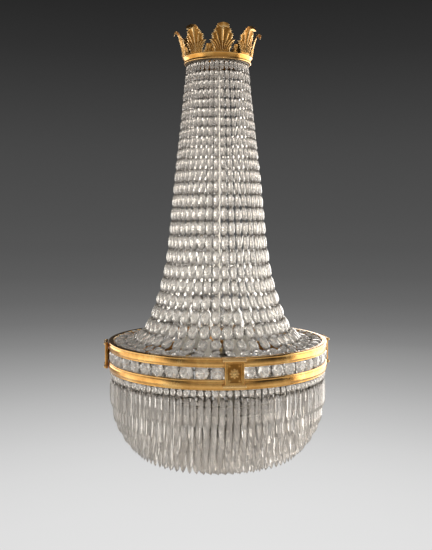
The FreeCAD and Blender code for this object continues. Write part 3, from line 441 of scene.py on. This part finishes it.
# ---- Crown leaves
# Eight cast and chased acanthus leaves stand on the band, lobed at their edges and veined
# from the foot, with tips that curl outward; a small bud fills each gap between their feet.

def blend_through(stations, at):
    """Values of smooth steps between stations (place, value, ...), one column each."""
    stations = np.asarray(stations, float)
    return [np.interp(at, stations[:, 0], column) for column in stations.T[1:]]


def leaf_outline(up):
    """Half width in millimetres up the leaf's run: three lobes, each cut into hooked teeth."""
    envelope, = blend_through([(0.0, 19.0), (0.10, 20.0), (0.20, 22.5), (0.27, 26.6),
                               (0.335, 28.8), (0.365, 22.6), (0.42, 24.4), (0.50, 25.6),
                               (0.535, 20.4), (0.60, 20.6), (0.665, 19.4), (0.70, 15.6),
                               (0.76, 14.6), (0.80, 13.0), (0.85, 12.6), (0.91, 12.2),
                               (0.96, 10.0), (1.0, 5.0)], up)
    tooth, = blend_through([(0.10, 0.0), (0.17, 1.0), (0.225, 2.0), (0.28, 3.0), (0.345, 4.0),
                            (0.42, 5.0), (0.475, 6.0), (0.53, 7.0), (0.60, 8.0), (0.65, 9.0),
                            (0.70, 10.0), (0.77, 11.0), (0.84, 12.0), (0.92, 13.0),
                            (1.0, 14.0)], up)
    hook = (tooth % 1.0) ** 2.2
    return envelope * (0.87 + 0.13 * np.sin(math.pi * hook) ** 0.8)


def leaf_line(up):
    """Reach beyond the foot, rise above it and lean of the leaf's middle line."""
    return blend_through([(0.0, 0.0, 0.0, 0), (0.08, 1.1, 6.0, 8), (0.175, 2.2, 13.1, 9),
                          (0.317, 3.7, 23.8, 10), (0.46, 6.4, 34.5, 15), (0.607, 9.2, 45.2, 18),
                          (0.70, 11.4, 51.8, 22), (0.767, 13.6, 56.4, 34), (0.82, 16.4, 59.0, 70),
                          (0.87, 19.4, 58.2, 112), (0.935, 21.4, 53.2, 150),
                          (1.0, 21.8, 48.6, 170)], up)


def leaf_relief(side, up):
    """Flutes that fan from the foot to the lobes: ridges where side / fan(up) is a quarter,
    two quarters and so on, with eyes between the lobes and a rib up the middle.
    """
    fan, = blend_through([(0, 14.0), (0.1, 15.5), (0.2, 20.0), (0.29, 28), (0.36, 38),
                          (0.44, 43), (0.53, 54), (0.6, 62), (0.69, 84), (0.85, 110),
                          (1, 140)], up)
    share = np.abs(side) / fan
    flutes = 2.2 * (1 - np.abs(np.sin(4 * math.pi * share))) ** 1.3 - 0.9
    relief = flutes * np.clip(up / 0.10, 0.15, 1) * np.clip((1.06 - up) / 0.25, 0, 1)
    for eye, level in ((17.5, 0.375), (15.0, 0.545), (10.5, 0.705)):
        spot = ((np.abs(side) - eye) / 1.9) ** 2 + ((up - level + 0.012) / 0.030) ** 2
        relief = relief - 1.5 * np.exp(-spot)
    return relief + 0.4 * np.exp(-(side / 1.5) ** 2) * np.clip((0.9 - up) / 0.3, 0, 1)


def bud_relief(side, up):
    """Three flutes up a bud."""
    return 0.7 * np.cos(side * 1.5) * np.sin(math.pi * np.clip(up, 0, 1)) ** 0.5


def make_leaves(name, outline_of, line_of, relief_of, size, foot, number, first, finish):
    """Leaves about the axis as closed shells: a front and a back grid over (across, up).

    A point lies across from the middle line by the outline, set back by the crown's curve,
    and stands out from the sheet by the relief, which fades to a thin edge.
    """
    columns, rows = size
    across, up = np.meshgrid(np.linspace(-1, 1, columns), np.linspace(0, 1, rows))
    out, rise, lean = line_of(up)
    side = across * outline_of(up)
    lean = np.radians(lean)
    rise = 1.014 * rise - 0.02 * side ** 2 * np.clip((up - 0.5) / 0.3, 0, 1)
    set_back = side ** 2 / (2 * (foot + out))
    thin = np.clip(6 * (1 - np.abs(across)), 0.12, 1) * np.clip(14 * (1.02 - up), 0.2, 1)
    relief = relief_of(side, up)
    front = (0.7 + relief) * thin + 0.35 * np.abs(across) ** 3 - set_back
    curl = np.clip((up - 0.74) / 0.06, 0, 1)
    back = -(0.9 + 0.5 * curl * np.clip(relief, -1, 1.4)) * thin - set_back
    # Painted shade in the low parts of the relief and on the whole back, most on the curled tip;
    # painted highlights on the leaf's edges, rim and tip.
    shade_and_highlight = np.clip(0.4 - relief, -1, 1) * np.clip(5 * (1 - np.abs(across)), 0, 1)
    shade_and_highlight = shade_and_highlight - np.clip(8 * np.abs(across) - 6.9, 0, 1)
    rim_highlight = np.clip(8 * np.abs(across) - 6.2, 0, 1) + np.clip(14 * up - 13, 0, 1)
    shade_and_highlight = np.concatenate([shade_and_highlight, 0.3 + curl * (0.2 - relief) - 1.2 * rim_highlight], 1)
    shells = []
    for stand in (front, back):
        reach = foot + out + stand * np.cos(lean)
        level = rise - stand * np.sin(lean)
        shells.append(np.stack([reach, side, crown_top + level], -1))
    sheet = np.concatenate([shells[0], shells[1][:, ::-1]], 1).reshape(-1, 3) * MM
    ring = 2 * columns
    faces = grid_faces(rows, ring, False, True)
    faces += [list(range(ring)), list(range((rows - 1) * ring, rows * ring))[::-1]]
    turn = 2 * math.pi * np.arange(number) / number + first
    x = np.outer(np.cos(turn), sheet[:, 0]) - np.outer(np.sin(turn), sheet[:, 1])
    y = np.outer(np.sin(turn), sheet[:, 0]) + np.outer(np.cos(turn), sheet[:, 1])
    z = np.tile(sheet[:, 2], (number, 1))
    points = np.stack([x, y, z], -1).reshape(-1, 3)
    copies = [[corner + copy * len(sheet) for corner in face]
              for copy in range(number) for face in faces]
    return add_mesh(name, points, copies, finish, hollow=np.tile(shade_and_highlight.ravel(), number))


def bud_outline(up):
    """Half width of a bud: narrow neck under a small rounded head."""
    return blend_through([(0, 5.0), (0.3, 3.4), (0.5, 4.0), (0.7, 5.0), (0.85, 4.4),
                          (0.95, 3.0), (1, 1.4)], up)[0]


def bud_line(up):
    """Reach, rise and lean of a bud's middle line."""
    return blend_through([(0, 0, 0, 0), (0.38, 0.5, 7.2, 4), (0.72, 2.0, 13.5, 15),
                          (0.9, 3.8, 16.8, 35), (1, 5.0, 17.6, 60)], up)


leaf_foot = 78.6
own(make_leaves("acanthus_leaves", leaf_outline, leaf_line, leaf_relief, (47, 111), leaf_foot,
                8, 0, gilt), "crown_leaves")
own(make_leaves("crown_bud_row", bud_outline, bud_line, bud_relief, (17, 21), leaf_foot, 8,
                math.pi / 8, gilt), "crown_buds")


# ---- Fixings
# Screws, nuts and threaded nipples turned from plain brass bar. They clamp the band, the
# plaques and the spiders, and are duller than the gilding and hardly seen.

def fixing_look(place):
    """Yellow brass with fine turning marks and darker tarnish."""
    stain = place.noise(90.0, 3.0)
    return {
        "Base Color": stain.ramp((0.3, (0.40, 0.29, 0.12)), (0.7, (0.68, 0.52, 0.25))),
        "Roughness": 0.24 + 0.2 * stain,
        "Normal": place.bump(place.noise(900.0, 2.0), 0.00006),
    }


fixing_brass = new_finish("fixing_brass", fixing_look, Metallic=1.0)
paint(fixing_brass, "crown_screws", "plaque_screws", "spider_nut_lower", "spider_nut_upper",
      "lamp_hub_nut", "lamp_nipples", "nipple_nuts")


# ---- Central stem
# Drawn brass tube, plated and polished, screwed into the coupler under the eye. It carries the
# lamps and the basket and leads the wires down, and shows between the strands.

def stem_look(place):
    """Bright plating with faint draw lines along the tube."""
    stretched = place.node("Mapping", None, {"Vector": place, "Scale": (1, 1, 0.02)})
    lines = stretched.noise(1500.0, 2.0)
    return {
        "Base Color": lines.ramp((0.3, (0.66, 0.63, 0.57)), (0.7, (0.86, 0.83, 0.77))),
        "Roughness": 0.26 + 0.1 * lines,
        "Normal": place.bump(lines, 0.00002),
    }


paint(new_finish("stem_plating", stem_look, Metallic=1.0), "central_stem", "stem_coupler")


# ---- Strands of the tent
# Forty strands of cut glass olives on wire pins, from the crown's hoop out to the gilt hoop;
# the beads grow down the strand, and its last two pieces are flat lozenges.

def pins_and_painted_shade(place, colour):
    """The brown of the wire pins at a crystal's ends, which also stands as painted shade in the
    gaps between crystals.
    """
    ends = place.node("Attribute", {"attribute_name": "hollow"}, None, 2)
    return place.node("Mix", {"data_type": "RGBA"}, {
        0: ends * 0.9, 6: colour, 7: (0.13, 0.085, 0.05, 1)}, 2)


def crystal_look(place):
    """Clear lead glass, faintly warm, with a little bloom of dust here and there.

    Painted shade darkens it more the higher it hangs.
    """
    dust = place.noise(140.0, 3.0)
    height = place.node("SeparateXYZ", None, {0: place}, 2)
    # Painted shade: a grey that deepens upward towards the crown.
    painted_top_shade = (height * 1.6 + 1.0).ramp((0.0, (1.0, 1.0, 1.0)), (0.95, (0.80, 0.78, 0.77)))
    glass = dust.ramp((0.35, (0.99, 0.965, 0.92)), (0.75, (0.90, 0.87, 0.82)))
    tinted = glass.node("Mix", {"data_type": "RGBA", "blend_type": "MULTIPLY"}, {
        0: 1.0, 6: glass, 7: painted_top_shade}, 2)
    return {
        "Base Color": pins_and_painted_shade(place, tinted),
        "Roughness": 0.02 + 0.10 * dust ** 2.0,
    }


crystal = new_finish("cut_crystal", crystal_look, IOR=1.55, Transmission_Weight=0.77)


def pressed_look(place):
    """Moulded glass with a soft milky bloom in clouds."""
    bloom = place.noise(90.0, 3.0)
    return {
        "Base Color": pins_and_painted_shade(place, bloom.ramp((0.35, (0.99, 0.96, 0.915)),
                                                (0.75, (0.91, 0.88, 0.83)))),
        "Roughness": 0.03 + 0.08 * bloom,
    }


pressed = new_finish("pressed_crystal", pressed_look, IOR=1.55, Transmission_Weight=0.78)


def smooth_curve(knots, samples):
    """Natural cubic curve through the knots by chord length, from its second derivatives."""
    knots = np.asarray(knots, float)
    gaps = np.linalg.norm(np.diff(knots, axis=0), axis=1)
    place = np.concatenate([[0], np.cumsum(gaps)])
    count = len(knots)
    system = np.eye(count)
    pull = np.zeros_like(knots)
    for k in range(1, count - 1):
        system[k, k - 1:k + 2] = gaps[k - 1], 2 * (gaps[k - 1] + gaps[k]), gaps[k]
        slope = np.diff(knots[k - 1:k + 2], axis=0) / gaps[k - 1:k + 1, None]
        pull[k] = 6 * (slope[1] - slope[0])
    bend = np.linalg.solve(system, pull)
    at = np.linspace(0, place[-1], samples)
    k = np.clip(np.searchsorted(place, at) - 1, 0, count - 2)
    before, after, gap = (at - place[k])[:, None], (place[k + 1] - at)[:, None], gaps[k][:, None]
    return (bend[k] * after ** 3 + bend[k + 1] * before ** 3) / (6 * gap) + (
        (knots[k] / gap - bend[k] * gap / 6) * after
        + (knots[k + 1] / gap - bend[k + 1] * gap / 6) * before)


def cut(sides, *rings):
    """A cut's points (share down, share across, share outward) and its triangles.

    Each ring is (share down the length, share of the half width, turn in sides).
    """
    spin = 2 * math.pi / sides
    points = [(down, size * math.sin(spin * (k + turn)), size * math.cos(spin * (k + turn)))
              for down, size, turn in rings for k in range(sides)]
    faces = []
    for ring in range(len(rings) - 1):
        upper, lower = ring * sides, (ring + 1) * sides
        twist = rings[ring + 1][2] - rings[ring][2]
        for k in range(sides):
            after = (k + 1) % sides
            if twist < 0:
                faces += [(upper + k, lower + after, lower + k),
                          (upper + k, upper + after, lower + after)]
            else:
                faces += [(upper + k, upper + after, lower + k),
                          (upper + after, lower + after, lower + k)]
    last = (len(rings) - 1) * sides
    for k in range(1, sides - 1):
        faces += [(0, k + 1, k), (last, last + k, last + k + 1)]
    return np.array(points), np.array(faces)


def crystals(name, shape, start, along, across, outward, finish, pins=0):
    """Copies of a cut: point = start + down * along + side * across + front * outward.

    Where a crystal is pinned, at its head or with two pins at its foot too, a tenth of its
    length is darkened, for the wire and as painted shade between crystals.
    Beads with two pins are smooth, the rest faceted.
    """
    points, faces = shape
    down = np.minimum(points[:, 0], 1 - points[:, 0]) if pins == 2 else points[:, 0]
    ends = np.clip(1.2 - 12 * down, 0, 1) * (pins > 0)
    spots = (start[:, None] + points[:, 0, None] * along[:, None]
             + points[:, 1, None] * across[:, None] + points[:, 2, None] * outward[:, None])
    shift = len(points) * np.arange(len(start))[:, None, None]
    return add_mesh(name, spots.reshape(-1, 3) * MM, (faces + shift).reshape(-1, 3).tolist(),
                    finish, pins == 2, np.tile(ends, len(start)))


uneven = np.random.default_rng(11)


def hang(reach, level, lean, azimuth, length, width, depth, slack=0.0):
    """Start, along, across and outward vectors of crystals, in millimetres.

    A crystal hangs from (reach, level) at an azimuth, leans outward from straight down, and
    is turned about its own length by up to the slack of its wire, in radians.
    """
    reach, level, lean, azimuth, length, width, depth = np.broadcast_arrays(
        reach, level, lean, azimuth, length, width, depth)
    east, north = np.cos(azimuth), np.sin(azimuth)
    twist = uneven.uniform(-slack, slack, reach.shape)[..., None]
    flat = np.zeros_like(reach)
    start = np.stack([reach * east, reach * north, level], -1)
    down = np.stack([np.sin(lean) * east, np.sin(lean) * north, -np.cos(lean)], -1)
    side = np.stack([-north, east, flat], -1)
    front = np.stack([np.cos(lean) * east, np.cos(lean) * north, np.sin(lean)], -1)
    side, front = (side * np.cos(twist) + front * np.sin(twist),
                   front * np.cos(twist) - side * np.sin(twist))
    vectors = (start, down * length[..., None], side * width[..., None] / 2,
               front * depth[..., None] / 2)
    return [vector.reshape(-1, 3) for vector in vectors]


# The strand's line by shares of its height and its spread, then the length of each row: the
# first six rows of beads are alike, and the next ones grow by a smooth step.
strand_count, bead_rows = 40, 24
per_side = strand_count // 4
crystal_gap, half_flange = 0.5, 1.5
tent_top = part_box("strand_hoop")[0].z / MM - crystal_gap
tent_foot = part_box("top_hoop")[1].z / MM - half_flange
tent_in, tent_out = 69.0, 237.5
flare = [(0.0, 0.0), (0.224, 0.082), (0.517, 0.191), (0.781, 0.316), (0.897, 0.447),
         (0.941, 0.513), (0.976, 0.590), (0.995, 0.700), (1.002, 0.820), (1.0, 1.0)]
line = smooth_curve([(tent_in + (tent_out - tent_in) * out,
                      tent_top + (tent_foot - tent_top) * down) for down, out in flare], 3000)
run = np.concatenate([[0], np.cumsum(np.linalg.norm(np.diff(line, axis=0), axis=1))])
growth = np.clip((np.arange(bead_rows) - 5) / 12, 0, 1)
pitch = np.concatenate([1 + 0.526 * growth ** 2 * (3 - 2 * growth), [1.146, 1.146]])
marks = np.concatenate([[0], np.cumsum(pitch)]) * run[-1] / pitch.sum()
knot = np.stack([np.interp(marks, run, line[:, 0]), np.interp(marks, run, line[:, 1])], 1)
step = np.diff(knot, axis=0)
row_length = np.linalg.norm(step, axis=1) - crystal_gap
row_lean = np.arctan2(step[:, 0], -step[:, 1])
widest, side_gap, depth_share = 23.5, 0.6, 0.62
row_room = math.pi * (knot[:-1, 0] + knot[1:, 0]) / strand_count
row_width = np.minimum(widest, row_room - side_gap)
strand_azimuth = 2 * math.pi * np.arange(strand_count) / strand_count
olive = cut(8, (0.0, 0.28, 0), (0.07, 0.56, 0), (0.22, 0.86, 0), (0.5, 1.0, 0), (0.78, 0.86, 0),
            (0.93, 0.56, 0), (1.0, 0.28, 0))
beads = slice(0, bead_rows)
for side, name in enumerate(("right", "back", "left", "front")):
    azimuth = strand_azimuth[side * per_side:(side + 1) * per_side]
    drop = uneven.uniform(-1.0, 1.0, (bead_rows, per_side))
    placed = hang(knot[:-1, 0][beads, None], knot[:-1, 1][beads, None] + drop,
                  row_lean[beads, None] + 0.02 * drop, azimuth[None], row_length[beads, None],
                  row_width[beads, None] * (1 - 0.02 * np.abs(drop)),
                  depth_share * row_width[beads, None], slack=0.12)
    own(crystals("beads_" + name, olive, *placed, crystal, pins=2), "strands_" + name,
        slot="crystal")
flat_cut = cut(8, (0.0, 0.20, 0), (0.07, 0.50, 0), (0.24, 0.84, 0), (0.5, 1.0, 0), (0.76, 0.84, 0),
               (0.93, 0.50, 0), (1.0, 0.20, 0))
flats = slice(bead_rows, bead_rows + 2)
lozenge_width, lozenge_depth = 24.0, 9.0
placed = hang(knot[:-1, 0][flats, None], knot[:-1, 1][flats, None], row_lean[flats, None],
              strand_azimuth[None], row_length[flats, None], lozenge_width, lozenge_depth,
              slack=0.40)
own(crystals("flat_lozenges", flat_cut, *placed, pressed, pins=2), "edge_lozenges",
    slot="crystal")


# ---- Gilt hoops
# Two spun brass hoops with a rounded upper edge, a plain face and a lower lip. The upper one
# carries the strands on its flange, the lower one the basket.

top_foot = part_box("top_hoop")[0].z / MM
low_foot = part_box("lower_hoop")[0].z / MM
low_height = 22.0
top_profile = [(reach, top_foot + rise) for reach, rise in (
    (245.0, 0.0), (247.6, 0.0), (248.3, 1.0), (248.3, 3.2), (249.4, 4.2), (250.0, 7.0),
    (250.0, 11.0), (249.4, 14.4), (248.9, 15.6), (249.6, 16.6), (249.6, 18.2), (248.6, 20.0),
    (238.0, 20.0), (238.0, 17.0), (245.0, 17.0))]
low_profile = [(reach, low_foot + rise) for reach, rise in (
    (238.0, 0.0), (246.8, 0.0), (247.6, 1.0), (247.7, 3.6), (248.8, 5.0), (249.8, 7.4),
    (250.0, 11.0), (249.9, 14.8), (249.2, 16.8), (248.7, 17.8), (249.4, 18.8), (249.4, 20.4),
    (248.4, low_height), (245.0, low_height), (245.0, 3.0), (238.0, 3.0))]
own(turned("upper_gilt_hoop", softened(top_profile), gilt, 360), "top_hoop")
own(turned("lower_gilt_hoop", softened(low_profile), gilt, 360, inside=245.5), "lower_hoop")


# ---- Band of round stones
# Forty-four round cut stones fill the gap between the hoops, each held from behind with its
# table and crown facets outward and its pointed back inside.

stone_slots, slots_per_side = 48, 12
stone_places = np.arange(stone_slots)
stone_turns = 2 * math.pi / stone_slots * stone_places[stone_places % slots_per_side > 0]
stone_face, stone_width, stone_depth = 249.2, 30.2, 14.2
stone_level = (top_foot + low_foot + low_height) / 2
brilliant = cut(8, (0.0, 0.50, 0), (0.20, 0.86, 0.5), (0.37, 0.97, 0), (0.42, 0.97, 0),
                (1.0, 0.05, 0))
placed = hang(stone_face, stone_level, -math.pi / 2, stone_turns, stone_depth, stone_width,
              stone_width)
own(crystals("round_stones", brilliant, *placed, pressed), "band_stones", slot="crystal")


# ---- Plaques
# Four cast plaques cover the hoops' brackets: a moulded cap at head and foot, a sunk panel
# with a raised frame and a rosette of eight petals round a button.

plaque_low, plaque_high = (corner.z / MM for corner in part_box("plaques"))
plaque_back, plaque_middle = 250.3, (plaque_low + plaque_high) / 2
half_width, half_height, cap_overhang = 19.3, 29, 4.7


def plaque_depth(x, z):
    """Height of the plaque's face over its back and its painted shade, at x across and z above its
    middle.
    """
    edge = np.minimum(half_width - np.abs(x), half_height - np.abs(z))
    cap = np.clip((np.abs(z) - 22.2) / 1.2, 0, 1)
    reach, turn = np.hypot(x, z), np.arctan2(z, x)
    frame_step = np.clip((14.0 - np.abs(x)) / 1.0, 0, 1) * np.clip((19.0 - np.abs(z)) / 1.0, 0, 1)
    petal = np.abs(np.cos(4 * turn)) ** 0.6
    flower = np.clip((6.5 + 5.2 * petal - reach) / 1.6, 0, 1) * (1.0 + 0.8 * np.cos(
        (reach - 6.8) / 4.4))
    button = np.sqrt(np.clip(1 - (reach / 3.2) ** 2, 0, 1)) * 1.2
    corner = np.hypot(np.abs(x) - 10.2, np.abs(z) - 15.2)
    leaf = np.clip(1 - corner / 3.4, 0, 1) ** 0.7 * 1.5
    face = 6.5 - 2.6 * frame_step + frame_step * (flower + button + leaf)
    roll = 5.8 + 3.2 * np.sqrt(np.clip(1 - ((np.abs(z) - 25.4) / 3.4) ** 2, 0.02, 1))
    depth = np.where(cap > 0, face * (1 - cap) + roll * cap, face) * np.clip(edge + 1.4, 0.9, 1)
    # Painted shade in the sunk panel, less on the flower, button and corner leaves; the highest
    # relief and the caps get a painted highlight.
    low = 0.10 + 0.85 * frame_step * (1 - np.clip((flower + button + leaf) / 1.3, 0, 1.6))
    return depth, np.where(cap > 0.5, -0.5, low)


def make_plaques():
    """Each plaque is a ring of points carried up its height: a front row and two back corners."""
    across = np.linspace(-1, 1, 61)
    up = np.linspace(-half_height, half_height, 89)
    half = half_width + cap_overhang * np.clip((np.abs(up) - 22.0) / 0.6, 0, 1)
    x = np.outer(half, across)
    z = np.repeat(up[:, None], len(across), 1)
    rounding = 1.4 * (np.abs(np.outer(np.ones_like(up), across)) > 0.985)
    depth, low = plaque_depth(x * np.minimum(1, half_width / half[:, None]), z)
    front = np.stack([plaque_back + depth - rounding, x, plaque_middle + z], -1)
    # The back corners get painted shade.
    low = np.concatenate([low, np.full((len(up), 2), 0.6)], 1).ravel()
    ends = [np.stack([np.full_like(up, plaque_back), side * half, plaque_middle + up], -1)
            for side in (1, -1)]
    sheet = np.concatenate([front, ends[0][:, None], ends[1][:, None]], 1)
    rows, ring = sheet.shape[:2]
    faces = grid_faces(rows, ring, False, True)
    faces += [list(range(ring)), list(range((rows - 1) * ring, rows * ring))[::-1]]
    boss = np.array([(reach, side, stone_level + rise) for reach in (244.4, plaque_back)
                     for side in (-9.5, 9.5) for rise in (-11, 11)])
    first = rows * ring
    faces += [[first + corner for corner in face] for face in (
        (0, 1, 3, 2), (4, 6, 7, 5), (0, 4, 5, 1), (2, 3, 7, 6), (0, 2, 6, 4), (1, 5, 7, 3))]
    sheet = np.concatenate([sheet.reshape(-1, 3), boss]) * MM
    turns = math.pi / 2 * np.arange(4)
    x = np.outer(np.cos(turns), sheet[:, 0]) - np.outer(np.sin(turns), sheet[:, 1])
    y = np.outer(np.sin(turns), sheet[:, 0]) + np.outer(np.cos(turns), sheet[:, 1])
    points = np.stack([x, y, np.tile(sheet[:, 2], (4, 1))], -1).reshape(-1, 3)
    copies = [[corner + copy * len(sheet) for corner in face]
              for copy in range(4) for face in faces]
    # The bosses behind the plaques get full painted shade.
    low = np.tile(np.concatenate([low, np.ones(len(boss))]), 4)
    return add_mesh("cast_plaques", points, copies, gilt, hollow=low)


own(make_plaques(), "plaques")
paint(dull, "plaque_brackets", "ring_spider")


# ---- Lamps
# Six candle lamps on a spider inside the hoops: threaded brass caps in porcelain holders,
# clear glass flames, hollow nipples and a terminal block for the leads.

def porcelain_look(place):
    """Glazed off-white porcelain with a faint warm cloud."""
    cloud = place.noise(60.0, 2.0)
    return {"Base Color": cloud.ramp((0.3, (0.80, 0.77, 0.69)), (0.7, (0.88, 0.86, 0.80))),
            "Roughness": 0.12 + 0.12 * cloud}


def block_look(place):
    """Moulded insulating block, matt with a fine grain."""
    grain = place.noise(700.0, 2.0)
    return {"Base Color": grain.ramp((0.3, (0.74, 0.73, 0.69)), (0.7, (0.82, 0.81, 0.78))),
            "Roughness": 0.45 + 0.2 * grain, "Normal": place.bump(grain, 0.00008)}


def lamp_glass_look(place):
    """Blown glass, clear with a hint of grey."""
    cloud = place.noise(80.0, 2.0)
    return {"Base Color": cloud.ramp((0.3, (0.93, 0.93, 0.90)), (0.7, (0.98, 0.97, 0.95))),
            "Roughness": 0.02 + 0.05 * cloud}


paint(new_finish("porcelain", porcelain_look, Coat_Weight=0.4), "lamp_holders")
paint(new_finish("block_plastic", block_look), "terminal_block")
paint(dull, "lamp_spider")
lamp_glass = new_finish("lamp_glass", lamp_glass_look, IOR=1.5, Transmission_Weight=1.0)
for lamp in range(1, 7):
    low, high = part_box("bulb_glass_%d" % lamp)
    centre = ((low.x + high.x) / 2, (low.y + high.y) / 2)
    foot, length = low.z / MM, (high.z - low.z) / MM
    share = np.linspace(0, 1, 40)
    flame, = blend_through([(0, 8.4), (0.07, 8.6), (0.16, 12.6), (0.27, 16.4), (0.38, 17.4),
                            (0.5, 16.6), (0.62, 14.2), (0.76, 9.8), (0.90, 5.0), (0.97, 2.2),
                            (1.0, 0.3)], share)
    flame = np.convolve(np.pad(flame, 2, "edge"), np.ones(5) / 5, "valid")
    flame[0], flame[-1] = 8.4, 0.2
    outside = np.stack([flame, foot + share * length], 1)
    inside = np.stack([np.maximum(flame - 1.0, 0.1), foot + share * (length - 1.6)], 1)[::-1]
    glass = turned("flame_%d" % lamp, np.concatenate([outside, inside]), lamp_glass, 40, centre)
    own(glass, "bulb_glass_%d" % lamp, body="lamp_%d" % lamp, slot="lamp_glass")
    low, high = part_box("bulb_cap_%d" % lamp)
    foot, length = low.z / MM, (high.z - low.z) / MM
    share = np.linspace(0, 1, 61)
    thread = 8.1 - 0.4 * np.cos(share * length / 2.8 * 2 * math.pi)
    body = np.where(share < 0.2, 3.8 + share / 0.2 * 4.0, np.where(share > 0.85, 8.4, thread))
    shell = [(0.05, foot)] + list(zip(body, foot + share * length)) + [(0.05, foot + length)]
    cap = turned("screw_cap_%d" % lamp, shell, fixing_brass, 40, centre)
    own(cap, "bulb_cap_%d" % lamp, body="lamp_%d" % lamp, slot="lamp_cap")


# ---- Basket of prisms
# A row of small ovals under the lower hoop with 104 prisms below it, then ten rings of longer
# pointed prisms, each smaller and lower than the last, on thin hoops that four ribs carry.

def drop_look(place):
    """Long moulded drops: clearer glass, with a tint that changes a little from drop to drop."""
    stretched = place.node("Mapping", None, {"Vector": place, "Scale": (1, 1, 0.08)})
    streak = stretched.noise(130.0, 3.0, 0.6)
    return {
        "Base Color": pins_and_painted_shade(place, streak.ramp((0.36, (0.99, 0.96, 0.92)),
                                                 (0.64, (0.66, 0.62, 0.57)))),
        "Roughness": 0.02 + 0.08 * streak,
    }


drops = new_finish("drop_crystal", drop_look, IOR=1.55, Transmission_Weight=0.82)
oval = cut(8, (0.0, 0.30, 0), (0.08, 0.62, 0), (0.24, 0.90, 0), (0.5, 1.0, 0), (0.76, 0.90, 0),
           (0.92, 0.62, 0), (1.0, 0.30, 0))
prism = cut(6, (0.0, 0.16, 0), (0.06, 0.62, 0), (0.16, 0.92, 0), (0.60, 1.0, 0), (0.82, 0.90, 0),
            (0.93, 0.60, 0), (1.0, 0.10, 0))
circle, rim_count = 242.3, 104
rim_turns = 2 * math.pi * (np.arange(rim_count) + 0.5) / rim_count
oval_top, oval_length, oval_width, oval_depth = low_foot - crystal_gap, 15.0, 12.0, 7.5
placed = hang(circle, oval_top, 0.0, rim_turns, oval_length, oval_width, oval_depth, slack=0.15)
own(crystals("small_ovals", oval, *placed, pressed, pins=2), "hoop_ovals", slot="crystal")
prism_width, prism_depth, prism_pitch = 13.4, 8.0, 15.2
outer_length, inner_length = 61.0, 75.0
placed = hang(circle, oval_top - oval_length - crystal_gap, 0.0, rim_turns, outer_length,
              prism_width, prism_depth, slack=0.30)
own(crystals("outer_prisms", prism, *placed, drops, pins=1), "prisms_tier_01", slot="crystal")
# Each inner ring as its share of the outer one's radius, and how far the top of its thin hoop
# lies below the lower gilt hoop, in millimetres. Its prisms start just under that thin hoop.
tier_hoop_height = 2.5
under_hoop = tier_hoop_height + crystal_gap
tiers = [(0.974, 33.0), (0.941, 53.0), (0.887, 76.0), (0.825, 95.0), (0.755, 111.0),
         (0.660, 118.0), (0.545, 126.0), (0.421, 136.0), (0.289, 146.0), (0.157, 153.0)]
for tier, (share, drop) in enumerate(tiers, start=2):
    reach = circle * share
    number = 4 * round(2 * math.pi * reach / prism_pitch / 4)
    turns = 2 * math.pi * (np.arange(number) + 0.5) / number
    placed = hang(reach, low_foot - drop - under_hoop, 0.0, turns, inner_length, prism_width,
                  prism_depth, slack=0.35)
    own(crystals("inner_prisms_%02d" % tier, prism, *placed, drops, pins=1),
        "prisms_tier_%02d" % tier, slot="crystal")
paint(dull, "tier_hoops", "basket_ribs", "basket_hub")
paint(gilt, "bottom_nut")
